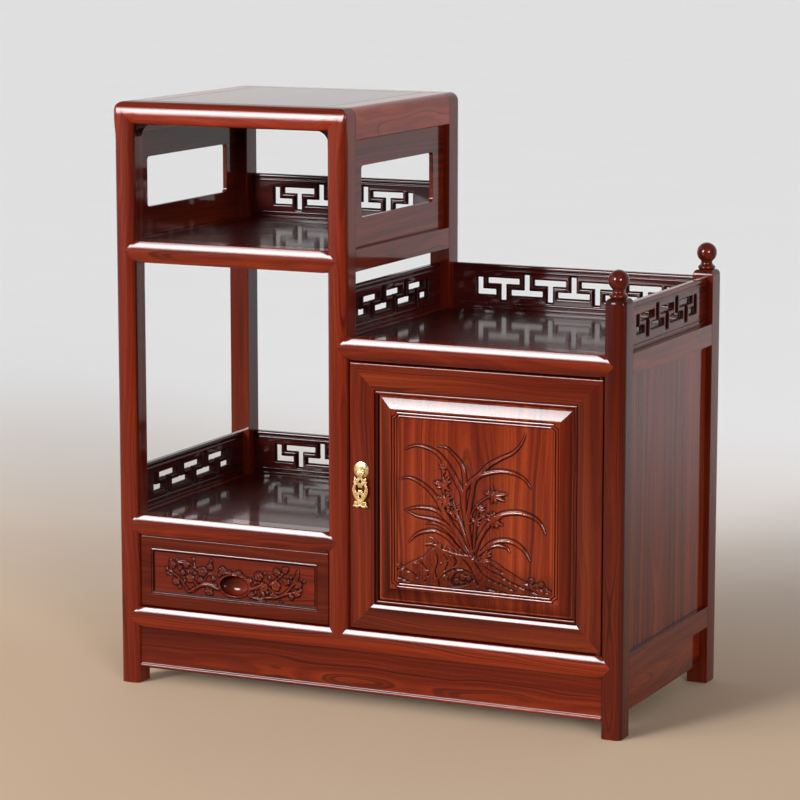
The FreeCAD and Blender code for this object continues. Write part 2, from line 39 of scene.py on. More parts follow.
# Sizes in millimetres from the outer left face (x), the front plane (y) and the floor (z).
W, D, H = 830.0, 405.0, 900.0
WT, PW, PD, YR = 391.0, 33.0, 34.0, 371.0
FM, FR = WT - PW, W - PW
BULGE = 3.4
RO = 14.0                                      # outer corner of the tower top
MM = 0.001


# light levels of the studio
KEY_L, KEY2_L, LEFT_L, LAMP_W = 50.0, 32.0, 1.1, 30.0
ROOM_FRONT, ROOM_SIDE, ROOM_BACK, ROOM_TOP = (0.10, 0.10, 0.105), (0.215, 0.207, 0.21), (0.74, 0.728, 0.724), (0.20, 0.205, 0.215)


# ------------------------------------------------------------------ materials
def nodes_of(mat):
    mat.use_nodes = True
    nt = mat.node_tree
    nt.nodes.clear()
    out = nt.nodes.new("ShaderNodeOutputMaterial")
    bs = nt.nodes.new("ShaderNodeBsdfPrincipled")
    nt.links.new(bs.outputs[0], out.inputs[0])
    return nt, bs


class N:
    """Short hand for wiring shader nodes."""

    def __init__(self, nt):
        self.nt = nt

    def new(self, kind, **kw):
        n = self.nt.nodes.new(kind)
        for k, v in kw.items():
            setattr(n, k, v)
        return n

    def put(self, sock, v):
        if isinstance(v, bpy.types.NodeSocket):
            self.nt.links.new(v, sock)
        else:
            sock.default_value = v

    def math(self, op, a, b=None, c=None, clamp=False):
        n = self.new("ShaderNodeMath", operation=op, use_clamp=clamp)
        self.put(n.inputs[0], a)
        if b is not None:
            self.put(n.inputs[1], b)
        if c is not None:
            self.put(n.inputs[2], c)
        return n.outputs[0]

    def vmul(self, v, s):
        n = self.new("ShaderNodeVectorMath", operation="MULTIPLY")
        self.put(n.inputs[0], v)
        self.put(n.inputs[1], s)
        return n.outputs[0]

    def vadd(self, v, s):
        n = self.new("ShaderNodeVectorMath", operation="ADD")
        self.put(n.inputs[0], v)
        self.put(n.inputs[1], s)
        return n.outputs[0]

    def noise(self, vec, scale=1.0, detail=2.0, rough=0.5, dist=0.0, dims="3D", w=None):
        n = self.new("ShaderNodeTexNoise", noise_dimensions=dims)
        if vec is not None and dims != "1D":
            self.put(n.inputs["Vector"], vec)
        if w is not None:
            self.put(n.inputs["W"], w)
        n.inputs["Scale"].default_value = scale
        n.inputs["Detail"].default_value = detail
        n.inputs["Roughness"].default_value = rough
        n.inputs["Distortion"].default_value = dist
        return n.outputs[0]

    def ramp(self, fac, stops, interp="LINEAR"):
        n = self.new("ShaderNodeValToRGB")
        n.color_ramp.interpolation = interp
        e = n.color_ramp.elements
        while len(e) < len(stops):
            e.new(0.5)
        for k, (p, c) in enumerate(stops):
            e[k].position = p
            e[k].color = (c[0], c[1], c[2], 1.0) if isinstance(c, (tuple, list)) else (c, c, c, 1.0)
        self.put(n.inputs[0], fac)
        return n.outputs[0]

    def mixc(self, fac, a, b, blend="MIX"):
        n = self.new("ShaderNodeMix", data_type="RGBA", blend_type=blend)
        self.put(n.inputs[0], fac)
        for s, v in ((n.inputs[6], a), (n.inputs[7], b)):
            if isinstance(v, bpy.types.NodeSocket):
                self.nt.links.new(v, s)
            else:
                s.default_value = (v[0], v[1], v[2], 1.0)
        return n.outputs[2]


def wood(name, dark, mid, light, gloss=0.42, coat=1.0, coat_rough=0.065, spec=0.03, streak=1.0, pores=1.0, ring=150.0, ior=1.34):
    """Lacquered wood whose figure follows the grain coordinates gc = (along, across, across)."""
    mat = bpy.data.materials.new(name)
    nt, bs = nodes_of(mat)
    n = N(nt)
    at = n.new("ShaderNodeAttribute", attribute_name="gc")
    g = at.outputs["Vector"]
    # slow wander of the rings along the piece
    wv = n.noise(n.vmul(g, (2.2, 9.0, 9.0)), 1.0, 2.0, 0.5)
    wv2 = n.noise(n.vmul(g, (7.0, 22.0, 22.0)), 1.0, 1.0, 0.5)
    sep = n.new("ShaderNodeSeparateXYZ")
    nt.links.new(g, sep.inputs[0])
    a2 = n.math("MULTIPLY", sep.outputs[1], sep.outputs[1])
    b2 = n.math("MULTIPLY", sep.outputs[2], sep.outputs[2])
    r = n.math("SQRT", n.math("ADD", a2, b2))
    r = n.math("ADD", r, n.math("MULTIPLY", wv, 0.050))
    r = n.math("ADD", r, n.math("MULTIPLY", wv2, 0.009))
    rings = n.noise(None, 1.0, 3.0, 0.6, dims="1D", w=n.math("MULTIPLY", r, ring))
    rings_c = n.ramp(rings, [(0.36, 0.0), (0.50, 0.5), (0.66, 1.0)])
    # broad colour bands and fine fibres
    wide = n.ramp(n.noise(n.vmul(g, (1.3, 12.0, 12.0)), 1.0, 1.0, 0.5), [(0.34, 0.0), (0.66, 1.0)])
    band = n.ramp(n.noise(n.vmul(g, (1.7, 66.0, 66.0)), 1.0, 2.0, 0.5), [(0.36, 0.0), (0.64, 1.0)])
    fib = n.noise(n.vmul(g, (9.0, 620.0, 620.0)), 1.0, 3.0, 0.6)
    fibw = n.noise(n.vmul(g, (3.0, 190.0, 190.0)), 1.0, 2.0, 0.55)
    tone = n.math("ADD", n.math("MULTIPLY", rings_c, 0.27 * streak), n.math("MULTIPLY", band, 0.24))
    tone = n.math("ADD", tone, n.math("MULTIPLY", wide, 0.26))
    tone = n.math("ADD", tone, n.math("MULTIPLY", fib, 0.24))
    tone = n.math("ADD", tone, n.math("MULTIPLY", fibw, 0.26))
    tone = n.math("SUBTRACT", tone, 0.13 + 0.13 * (streak - 1.0))
    col = n.ramp(tone, [(0.14, dark), (0.50, mid), (0.88, light)])
    # near-black growth lines, thin and broken
    ln = n.noise(None, 1.0, 2.0, 0.7, dims="1D", w=n.math("MULTIPLY", r, ring * 1.9))
    ln = n.ramp(ln, [(0.31, 1.0), (0.39, 0.0)])
    lm = n.noise(n.vmul(g, (1.6, 30.0, 30.0)), 1.0, 1.0, 0.5)
    ln = n.math("MULTIPLY", ln, n.ramp(lm, [(0.42, 0.0), (0.60, 1.0)]))
    col = n.mixc(n.math("MULTIPLY", ln, 0.62 * streak), col, tuple(c * 0.45 for c in dark))
    # pores: short dark dashes
    po = n.noise(n.vmul(g, (130.0, 2300.0, 2300.0)), 1.0, 1.0, 0.5)
    po = n.ramp(po, [(0.62, 0.0), (0.72, 1.0)])
    col = n.mixc(n.math("MULTIPLY", po, 0.45 * pores), col, tuple(c * 0.4 for c in dark))
    # each piece has its own depth of colour (tone), set piece by piece, and on some pieces it stands in for light and
    # shade; painted shade, from a per-point attribute, darkens hollows, grooves and shaded faces towards near black
    tn = n.new("ShaderNodeAttribute", attribute_name="tone")
    sc_t = n.new("ShaderNodeVectorMath", operation="SCALE")
    n.put(sc_t.inputs[0], col)
    n.put(sc_t.inputs["Scale"], tn.outputs["Fac"])
    cv = n.new("ShaderNodeAttribute", attribute_name="painted_shade")
    col = n.mixc(cv.outputs["Fac"], sc_t.outputs[0], (0.006, 0.0008, 0.0005))
    nt.links.new(col, bs.inputs["Base Color"])
    # roughness: a little duller in the open grain, with faint cloudy polish marks
    cl = n.noise(n.vmul(g, (16.0, 16.0, 16.0)), 1.0, 3.0, 0.55)
    rg = n.math("ADD", n.math("MULTIPLY", cl, 0.10), gloss - 0.06)
    rg = n.math("ADD", rg, n.math("MULTIPLY", po, 0.12))
    nt.links.new(rg, bs.inputs["Roughness"])
    bs.inputs["Specular IOR Level"].default_value = spec
    # the coat thins where shade is painted, so the painted shade also takes away the reflection
    nt.links.new(n.math("MULTIPLY", n.math("SUBTRACT", 1.0, n.math("MULTIPLY", cv.outputs["Fac"], 0.88)), coat), bs.inputs["Coat Weight"])
    bs.inputs["Coat Roughness"].default_value = coat_rough
    bs.inputs["Coat IOR"].default_value = ior
    bp = n.new("ShaderNodeBump")
    bp.inputs["Strength"].default_value = 0.22
    bp.inputs["Distance"].default_value = 0.00012
    hgt = n.math("SUBTRACT", n.math("MULTIPLY", fib, 0.5), n.math("MULTIPLY", po, 0.8))
    nt.links.new(hgt, bp.inputs["Height"])
    nt.links.new(bp.outputs[0], bs.inputs["Normal"])
    return mat


ROSE = wood("rosewood", (0.038, 0.0024, 0.0008), (0.104, 0.0082, 0.0017), (0.190, 0.0210, 0.0038))
# a darker copy of the rosewood: painted shade for the galleries and inner parts that sit in shade
ROSE_SHADED = wood("rosewood_shaded", (0.012, 0.0012, 0.0013), (0.027, 0.0026, 0.0022), (0.048, 0.0050, 0.0034), streak=0.8)
ROSE_S = wood("rosewood_soft", (0.038, 0.0024, 0.0008), (0.104, 0.0082, 0.0017), (0.190, 0.0210, 0.0038), coat_rough=0.115)
ROSE_B = wood("rosewood_board", (0.014, 0.0013, 0.0013), (0.034, 0.0028, 0.0022), (0.060, 0.0054, 0.0032), streak=0.8, coat=0.52, coat_rough=0.085)
ROSE_P = wood("rosewood_panel", (0.038, 0.0027, 0.0010), (0.108, 0.0098, 0.0022), (0.190, 0.0262, 0.0054), streak=0.95, ring=120.0)
INNER = wood("inner_wood", (0.20, 0.105, 0.050), (0.36, 0.215, 0.110), (0.47, 0.30, 0.165), gloss=0.55, coat=0.0, spec=0.4, streak=0.6, pores=0.6)


def brass_mat():
    mat = bpy.data.materials.new("brass_polished")
    nt, bs = nodes_of(mat)
    n = N(nt)
    tc = n.new("ShaderNodeTexCoord")
    o = tc.outputs["Object"]
    c1 = n.noise(n.vmul(o, (220.0, 220.0, 220.0)), 1.0, 3.0, 0.6)
    c2 = n.noise(n.vmul(o, (1500.0, 1500.0, 240.0)), 1.0, 2.0, 0.5)
    col = n.ramp(c1, [(0.30, (0.56, 0.37, 0.14)), (0.52, (0.80, 0.60, 0.30)), (0.70, (0.90, 0.74, 0.46))])
    geo = n.new("ShaderNodeNewGeometry")
    pt = n.ramp(geo.outputs["Pointiness"], [(0.44, 0.0), (0.52, 1.0)])
    col = n.mixc(pt, n.mixc(0.62, col, (0.20, 0.115, 0.040)), col)
    nt.links.new(col, bs.inputs["Base Color"])
    bs.inputs["Metallic"].default_value = 1.0
    rg = n.math("ADD", n.math("MULTIPLY", c1, 0.14), n.math("MULTIPLY", c2, 0.12))
    nt.links.new(n.math("ADD", rg, 0.13), bs.inputs["Roughness"])
    bp = n.new("ShaderNodeBump")
    bp.inputs["Strength"].default_value = 0.25
    bp.inputs["Distance"].default_value = 0.0001
    nt.links.new(n.math("ADD", c1, n.math("MULTIPLY", c2, 0.4)), bp.inputs["Height"])
    nt.links.new(bp.outputs[0], bs.inputs["Normal"])
    return mat


def steel_mat():
    mat = bpy.data.materials.new("steel_plain")
    nt, bs = nodes_of(mat)
    n = N(nt)
    tc = n.new("ShaderNodeTexCoord")
    c1 = n.noise(n.vmul(tc.outputs["Object"], (60.0, 60.0, 1400.0)), 1.0, 3.0, 0.6)
    nt.links.new(n.ramp(c1, [(0.3, (0.40, 0.40, 0.41)), (0.7, (0.62, 0.62, 0.63))]), bs.inputs["Base Color"])
    bs.inputs["Metallic"].default_value = 1.0
    nt.links.new(n.math("ADD", n.math("MULTIPLY", c1, 0.2), 0.24), bs.inputs["Roughness"])
    return mat


def brass_aged():
    mat = bpy.data.materials.new("brass_aged")
    nt, bs = nodes_of(mat)
    n = N(nt)
    tc = n.new("ShaderNodeTexCoord")
    c1 = n.noise(n.vmul(tc.outputs["Object"], (300.0, 300.0, 300.0)), 1.0, 3.0, 0.6)
    nt.links.new(n.ramp(c1, [(0.3, (0.030, 0.018, 0.008)), (0.7, (0.075, 0.046, 0.020))]), bs.inputs["Base Color"])
    bs.inputs["Metallic"].default_value = 1.0
    nt.links.new(n.math("ADD", n.math("MULTIPLY", c1, 0.2), 0.42), bs.inputs["Roughness"])
    return mat


BRASS, STEEL, BRASS_A = brass_mat(), steel_mat(), brass_aged()

# ------------------------------------------------------------------ mesh helpers
_seed = [0]


def piece(name, verts, faces, body, cad=(), mat=None, grain="z", smooth=32.0, pith=None, weld=0.0, flat=True, tone=1.0, painted_shade=None, mitre=False):
    """verts in millimetres of the working frame."""
    mat = mat or ROSE
    me = bpy.data.meshes.new(name)
    me.from_pydata([tuple(v) for v in verts], [], [tuple(f) for f in faces])
    return piece_mesh(name, me, body, cad, mat, grain, smooth, pith, weld, flat, tone, painted_shade, mitre)


def piece_mesh(name, me, body, cad=(), mat=None, grain="z", smooth=32.0, pith=None, weld=0.002, flat=True, tone=1.0, painted_shade=None, mitre=False):
    mat = mat or ROSE
    bm = bmesh.new()
    bm.from_mesh(me)
    if weld:
        bmesh.ops.remove_doubles(bm, verts=bm.verts, dist=weld)
    loose = [v for v in bm.verts if not v.link_faces]
    if loose:
        bmesh.ops.delete(bm, geom=loose, context="VERTS")
    bmesh.ops.recalc_face_normals(bm, faces=bm.faces)
    bm.to_mesh(me)
    bm.free()
    co = np.empty(len(me.vertices) * 3)
    me.vertices.foreach_get("co", co)
    co = co.reshape(-1, 3)
    set_grain(me, co, grain, pith)
    at = me.attributes.new("tone", "FLOAT", "POINT")
    at.data.foreach_set("value", np.full(len(co), tone, np.float32))
    # per-point painted shade, 0 to 1, which the wood material reads
    cv = np.zeros(len(co), np.float32) if painted_shade is None else (painted_shade(co) if callable(painted_shade) else np.asarray(painted_shade, np.float32))
    at = me.attributes.new("painted_shade", "FLOAT", "POINT")
    at.data.foreach_set("value", cv.astype(np.float32))
    row = np.column_stack(((co[:, 0] - W / 2) * MM, (co[:, 1] - D / 2) * MM, co[:, 2] * MM))
    me.vertices.foreach_set("co", row.ravel())
    me.shade_smooth()
    me.set_sharp_from_angle(angle=math.radians(smooth))
    if mitre:
        ed = np.empty(len(me.edges) * 2, int)
        me.edges.foreach_get("vertices", ed)
        ed = ed.reshape(-1, 2)
        dd = np.abs(co[ed[:, 0]] - co[ed[:, 1]])
        diag = (dd[:, 0] > 0.02) & (dd[:, 2] > 0.02) & (np.abs(dd[:, 0] - dd[:, 2]) < 0.01)
        sh = me.attributes.get("sharp_edge") or me.attributes.new("sharp_edge", "BOOLEAN", "EDGE")
        cur = np.zeros(len(me.edges), bool)
        sh.data.foreach_get("value", cur)
        sh.data.foreach_set("value", cur | diag)
    me.materials.clear()
    me.materials.append(mat)
    me.update()
    ob = bpy.data.objects.new(name, me)
    scene.collection.objects.link(ob)
    for c in ([cad] if isinstance(cad, str) else cad):
        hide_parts(c)
    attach(ob, body)
    if flat:
        wn = ob.modifiers.new("normals", "WEIGHTED_NORMAL")
        wn.mode = "FACE_AREA"
        wn.keep_sharp = True
    return ob


def paint_shade(ob, test, value=0.95):
    """Paints shade on the points for which test(x, y, z) in mm holds, through the per-point painted shade attribute."""
    for v, a in zip(ob.data.vertices, ob.data.attributes["painted_shade"].data):
        if test(v.co.x / MM + W / 2, v.co.y / MM + D / 2, v.co.z / MM):
            a.value = value


def set_grain(me, co, grain, pith=None):
    _seed[0] += 1
    s = _seed[0]
    h1, h2, h3 = (math.sin(s * 12.9898) * 43758.5453) % 1.0, (math.sin(s * 78.233) * 12543.771) % 1.0, (math.sin(s * 39.425) * 9871.137) % 1.0
    c = (co.min(0) + co.max(0)) / 2
    order = {"x": (0, 2, 1), "y": (1, 2, 0), "z": (2, 0, 1)}[grain]
    loc = (co - c) * MM
    if pith is None:
        pith = ((h1 - 0.5) * 0.05, 0.022 + 0.03 * h2)
    gc = np.column_stack((loc[:, order[0]] + 1.7 * h3 + 3.1 * h1, loc[:, order[1]] + pith[0], loc[:, order[2]] + pith[1]))
    at = me.attributes.new("gc", "FLOAT_VECTOR", "POINT")
    at.data.foreach_set("vector", gc.astype(np.float32).ravel())


def loft(rings, closed=True, caps=True):
    """rings: lists of points of equal length -> verts, faces."""
    n = len(rings[0])
    v = [p for r in rings for p in r]
    f = []
    for k in range(len(rings) - 1):
        for i in range(n if closed else n - 1):
            j = (i + 1) % n
            f.append((k * n + i, k * n + j, (k + 1) * n + j, (k + 1) * n + i))
    if caps:
        f.append(tuple(range(n - 1, -1, -1)))
        f.append(tuple((len(rings) - 1) * n + i for i in range(n)))
    return v, f


def bull(w, depth, bulge=BULGE, fr=8.5, nf=9, na=16, br=0.8):
    """Cross-section (u, y) of a crowned member: back edge, side, rounded corner, crown."""
    Rr = ((w / 2) ** 2 + bulge ** 2) / (2 * bulge)
    yc = Rr - math.sqrt((Rr - fr) ** 2 - (w / 2 - fr) ** 2)
    a_t = math.atan2(w / 2 - fr, Rr - yc)          # angle of the tangent point from the crown axis
    pts = [(br, depth), (0.0, depth - br)]
    for k in range(nf + 1):
        a = math.pi / 2 - (math.pi / 2 - a_t) * k / nf
        pts.append((fr - fr * math.sin(a), yc - fr * math.cos(a)))
    for k in range(1, na):
        a = a_t - 2 * a_t * k / na
        pts.append((w / 2 - Rr * math.sin(a), Rr - Rr * math.cos(a)))
    for k in range(nf + 1):
        a = a_t + (math.pi / 2 - a_t) * k / nf
        pts.append((w - fr + fr * math.sin(a), yc - fr * math.cos(a)))
    pts += [(w, depth - br), (w - br, depth)]
    return pts


def bevel_box(x0, x1, y0, y1, z0, z1, b=0.8, seg=2):
    bm = bmesh.new()
    bmesh.ops.create_cube(bm, size=1.0)
    for v in bm.verts:
        v.co = Vector(((x0 + x1) / 2 + v.co.x * (x1 - x0), (y0 + y1) / 2 + v.co.y * (y1 - y0), (z0 + z1) / 2 + v.co.z * (z1 - z0)))
    if b > 0:
        bmesh.ops.bevel(bm, geom=list(bm.edges), offset=b, segments=seg, profile=0.5, affect="EDGES")
    me = bpy.data.meshes.new("tmp")
    bm.to_mesh(me)
    bm.free()
    return me


def box_piece(name, b6, body, cad, mat=None, grain="z", b=0.8, pith=None, tone=1.0):
    return piece_mesh(name, bevel_box(*b6, b=b), body, cad, mat, grain, 40.0, pith, weld=0.0, tone=tone)


def join_meshes(meshes):
    bm = bmesh.new()
    for m in meshes:
        bm.from_mesh(m)
    me = bpy.data.meshes.new("tmp")
    bm.to_mesh(me)
    bm.free()
    return me


def mesh_of(v, f):
    me = bpy.data.meshes.new("tmp")
    me.from_pydata([tuple(p) for p in v], [], [tuple(q) for q in f])
    return me


def plate(outer, holes, t0, t1, bev, seg, to3, deep=None):
    """Flat piece with holes and rounded rims. Outlines are 2D points in mm; to3(u, v, t) places them."""
    cu = bpy.data.curves.new("tmp", "CURVE")
    cu.dimensions = "2D"
    cu.fill_mode = "BOTH"
    cu.extrude = (t1 - t0) / 2 - bev
    cu.bevel_depth = bev
    cu.bevel_resolution = seg
    cu.offset = -bev
    for loop in [outer] + list(holes):
        sp = cu.splines.new("POLY")
        sp.points.add(len(loop) - 1)
        for k, p in enumerate(loop):
            sp.points[k].co = (p[0], p[1], 0.0, 1.0)
        sp.use_cyclic_u = True
    ob = bpy.data.objects.new("tmp_curve", cu)
    scene.collection.objects.link(ob)
    bpy.context.view_layer.update()
    dg = bpy.context.evaluated_depsgraph_get()
    me = bpy.data.meshes.new_from_object(ob.evaluated_get(dg))
    bpy.data.objects.remove(ob)
    bpy.data.curves.remove(cu)
    tm = (t0 + t1) / 2
    flat = (t1 - t0) / 2 - bev
    for v in me.vertices:
        z = v.co.z
        if deep and abs(z) > flat - 1e-4:          # stretch the rims so that they cut deeper than wide
            f = (abs(z) - flat) / bev
            z = math.copysign((t1 - t0) / 2 - deep * (1.0 - f), z)
        v.co = Vector(to3(v.co.x, v.co.y, tm + z))
    bm = bmesh.new()
    bm.from_mesh(me)
    bmesh.ops.remove_doubles(bm, verts=bm.verts, dist=0.004)
    bm.to_mesh(me)
    bm.free()
    return me


def rrect(x0, x1, z0, z1, r, n=5):
    pts = []
    for cx, cz, a0 in ((x1 - r, z1 - r, 0), (x0 + r, z1 - r, 90), (x0 + r, z0 + r, 180), (x1 - r, z0 + r, 270)):
        for k in range(n + 1):
            a = math.radians(a0 + 90.0 * k / n)
            pts.append((cx + r * math.cos(a), cz + r * math.sin(a)))
    return pts


# ------------------------------------------------------------------ posts
PROF = bull(PW, PD)


def top_profile(w, depth, nf=9, na=16, br=0.8):
    """Section of the top rail (u up from the lower edge): flattest 9 mm above the lower edge, rounded far over above."""
    radii = [(-90.0, -13.0, 5.8), (-13.0, 0.0, 20.0), (0.0, 10.0, 70.0), (10.0, 18.0, 29.0), (18.0, 28.0, 19.0), (28.0, 90.0, 11.5)]

    def at(phi):
        u, y = 9.0, 0.0
        for a, b, R in radii:
            lo, hi = (max(a, 0.0), min(b, phi)) if phi >= 0 else (max(a, phi), min(b, 0.0))
            if hi <= lo:
                continue
            du = R * (math.sin(math.radians(hi)) - math.sin(math.radians(lo)))
            dy = abs(R * (math.cos(math.radians(lo)) - math.cos(math.radians(hi))))
            u += du if phi >= 0 else -du
            y += dy
        return u, y
    top = at(90.0)[0]
    bot = at(-90.0)[0]

    def sc(q):
        return ((q[0] - bot) / (top - bot) * w, q[1])
    pts = [(br, depth), (0.0, depth - br)]
    pts += [sc(at(-90.0 + 77.0 * k / nf)) for k in range(nf + 1)]
    pts += [sc(at(-13.0 + 41.0 * k / na)) for k in range(1, na)]
    pts += [sc(at(28.0 + 62.0 * k / nf)) for k in range(nf + 1)]
    return pts + [(w, depth - br), (w - br, depth)]


TOPP = top_profile(34.0, PD)
_post_u = np.array([q[0] for q in PROF[2:-2]])
_post_y = np.array([q[1] for q in PROF[2:-2]])
_top_u = np.array([q[0] for q in TOPP[2:-2]])
_top_y = np.array([q[1] for q in TOPP[2:-2]])


def smax(a, b, e):
    """Greater of two depths with a softened crease."""
    h = max(e - abs(a - b), 0.0) / e
    return max(a, b) + h * h * e / 4 * min(min(a, b) / 0.3, 1.0)


def corner_y(x, z):
    """Depth of the front face near a tower corner; x from the outer side, z from the floor.
    The rail's section runs through to the end, the post's outer rounding fades out below it."""
    w = min(max((z - 842.0) / 32.0, 0.0), 1.0)
    w = w * w * (3 - 2 * w)
    outer = float(np.interp(x, _post_u, _post_y)) if x < PW / 2 else 0.0
    small = 5.0 - math.sqrt(max(25.0 - (5.0 - x) ** 2, 0.0)) if x < 5.0 else 0.0
    outer = outer * (1 - w) + small * w
    u = z - (H - 34.0)
    upper = float(np.interp(u, _top_u, _top_y)) if u > 9.0 else 0.0
    d = max(PW - x, u)                             # distance from the inner edges
    post_in = float(np.interp(d, (PW - _post_u)[::-1], _post_y[::-1])) if d < PW / 2 else 0.0
    rail_in = float(np.interp(d, _top_u, _top_y)) if d < 9.0 else 0.0
    q = min(max((x - 30.0) / 14.0, 0.0), 1.0)
    q = q * q * (3 - 2 * q)
    inner = post_in * (1 - q) + rail_in * q
    rim = 0.0
    if x < RO and z > H - RO:
        e = RO - math.hypot(RO - x, z - (H - RO))
        if e < 4.0:
            rim = 4.0 - math.sqrt(max(16.0 - (4.0 - e) ** 2, 0.0)) + 0.6
    return smax(smax(smax(outer, upper, 2.2), inner, 0.8), rim, 1.2)


def tower_post(name, left, z0, cad):
    """Front post of the tower: turns into the top rail on a mitre, round outside."""
    rr = RO
    ring_list = []

    def place(u, y, x, z):
        return ((x if left else WT - x), y, z)
    zs = [z0, z0 + 1.2] if left else [z0]
    for k, z in enumerate(zs):
        s = 0.8 if (left and k == 0) else 0.0
        ring_list.append([place(u, y, min(max(u, s), PW - s), z) for u, y in PROF])
    ring_list.append([place(u, y, u, 840.0) for u, y in PROF])
    n, ns = 14, 16                             # rings on the bend and on the straight part below it
    for k in range(1 - ns, n + 1):
        th = math.radians(45.0 * max(k, 0) / n)
        ring = []
        for i, (u, y) in enumerate(PROF):
            if u < rr and k < 0:
                x, z = u, 840.0 + (H - rr - 840.0) * (k + ns) / ns
            elif u < rr:
                x, z = rr - (rr - u) * math.cos(th), H - rr + (rr - u) * math.sin(th)
            else:
                ze = H - u * (34.0 / 33.0)
                x, z = u, 840.0 + (ze - 840.0) * (k + ns) / (n + ns)
            if 2 <= i < len(PROF) - 2:
                y = corner_y(x, z)
            ring.append(place(u, y, x, z))
        ring_list.append(ring)
    v, f = loft(ring_list)
    return piece(name, v, f, "carcass", cad, ROSE_S, grain="z", tone=0.92)


tower_post("post_front_left_wood", True, 0.0, "post_front_left")
tower_post("post_front_middle_wood", False, 106.0, "post_front_middle")


def short_post(name, x0, y0, front, cad):
    """Right-hand post: the top is dished over to a soft shoulder."""
    prof = [(u, y) for u, y in PROF] if front else [(u, PD - y) for u, y in bull(PW, PD, 0.05, 2.4, 5, 6)]
    cx, cy = PW / 2, PD / 2
    top = 644.0
    rings = [[(x0 + min(max(u, 0.8), PW - 0.8), y0 + min(max(y, 0.8), PD - 0.8), 0.0) for u, y in prof],
             [(x0 + u, y0 + y, 1.2) for u, y in prof]]
    rr, rz = 5.8, 8.6
    for k in range(0, 9):
        a = math.pi / 2 * k / 8
        ins = rr * (1 - math.cos(a))
        z = top - rz + rz * math.sin(a)
        q = 1.0 - ins / (PW / 2)
        ring = []
        for u, y in prof:
            ring.append((x0 + cx + (u - cx) * q, y0 + cy + (y - cy) * q, z))
        rings.append(ring)
    rings.append([(x0 + cx + (u - cx) * 0.30, y0 + cy + (y - cy) * 0.30, top) for u, y in prof])
    v, f = loft(rings)
    # painted shade over the dished top above z 634.5, 0.60 on the front post and 0.30 on the rear, dimming the
    # highlight on the dome
    return piece(name, v, f, "carcass", cad, grain="z", smooth=50, tone=0.56 if front else 0.72, painted_shade=lambda co: np.clip((co[:, 2] - 634.5) / 2.5, 0, 1) * (0.60 if front else 0.30))


short_post("post_front_right_wood", FR, 0.0, True, "post_front_right")
short_post("post_rear_right_wood", FR, YR, False, "post_rear_right")


def prism(outline, axis, lo, hi, b=0.8, seg=2):
    """Outline (u, v) extruded along axis ('x': u=y v=z, 'y': u=x v=z, 'z': u=x v=y), with rounded rims."""
    def p3(u, v, t):
        return {"x": (t, u, v), "y": (u, t, v), "z": (u, v, t)}[axis]
    bm = bmesh.new()
    a = [bm.verts.new(p3(u, v, lo)) for u, v in outline]
    c = [bm.verts.new(p3(u, v, hi)) for u, v in outline]
    fa = bm.faces.new(a)
    fc = bm.faces.new(list(reversed(c)))
    n = len(outline)
    for i in range(n):
        bm.faces.new((a[i], a[(i + 1) % n], c[(i + 1) % n], c[i]))
    bmesh.ops.recalc_face_normals(bm, faces=bm.faces)
    if b > 0:
        rim = set(fa.edges) | set(fc.edges)
        sharp = set()
        for e in bm.edges:
            if e not in rim and len(e.link_faces) == 2 and e.link_faces[0].normal.angle(e.link_faces[1].normal, 0) > 0.6:
                sharp.add(e)
        bmesh.ops.bevel(bm, geom=list(rim | sharp), offset=b, segments=seg, profile=0.5, affect="EDGES", clamp_overlap=True)
    me = bpy.data.meshes.new("tmp")
    bm.to_mesh(me)
    bm.free()
    return me


def arc(cx, cy, r, a0, a1, n):
    return [(cx + r * math.cos(math.radians(a0 + (a1 - a0) * k / n)), cy + r * math.sin(math.radians(a0 + (a1 - a0) * k / n))) for k in range(n + 1)]


rl = [(0, 0), (PW, 0), (PW, H)] + arc(RO, H - RO, RO, 90, 180, 12)
piece_mesh("post_rear_left_wood", prism(rl, "y", YR, D, 1.2), "carcass", "post_rear_left", grain="z", weld=0, tone=0.78)
rm = [(FM, 122), (WT, 122)] + arc(WT - RO, H - RO, RO, 0, 90, 12) + [(FM, H)]
piece_mesh("post_rear_middle_wood", prism(rm, "y", YR, D, 1.2), "carcass", "post_rear_middle", grain="z", weld=0, tone=0.78)


# ------------------------------------------------------------------ finials
def lathe(cx, cy, prof, n=48):
    v, f = [], []
    m = len(prof)
    for i in range(n):
        a = 2 * math.pi * i / n
        for r, z in prof:
            v.append((cx + r * math.cos(a), cy + r * math.sin(a), z))
    for i in range(n):
        j = (i + 1) % n
        for k in range(m - 1):
            f.append((i * m + k, j * m + k, j * m + k + 1, i * m + k + 1))
    return v, f


def finial_prof():
    z = 638.0
    p = [(0.0, z - 3.0), (15.2, z - 3.0), (14.6, z - 1.2), (13.8, z + 0.7), (12.6, z + 2.6), (11.3, z + 4.6), (10.9, z + 5.6)]
    for k in range(15):                        # collar
        a = math.radians(-66 + 132 * k / 14)
        p.append((9.3 + 3.9 * math.cos(a), z + 9.4 + 3.6 * math.sin(a)))
    p += [(9.9, z + 13.4), (9.1, z + 14.4), (8.75, z + 15.9), (8.75, z + 17.8)]
    Rb, zb = 15.3, z + 31.7
    a0 = math.asin(9.2 / Rb)
    for k in range(27):
        a = a0 + (math.pi - a0) * k / 26
        p.append((max(Rb * math.sin(a), 0.0), zb - Rb * math.cos(a)))
    return p


for nm, cy in (("finial_front", PD / 2), ("finial_rear", YR + PD / 2)):
    v, f = lathe(FR + PW / 2, cy, finial_prof())
    piece(nm, v, f, "carcass", "finials", grain="z", smooth=60, weld=0.001, pith=(0.004, 0.006), tone=0.62)


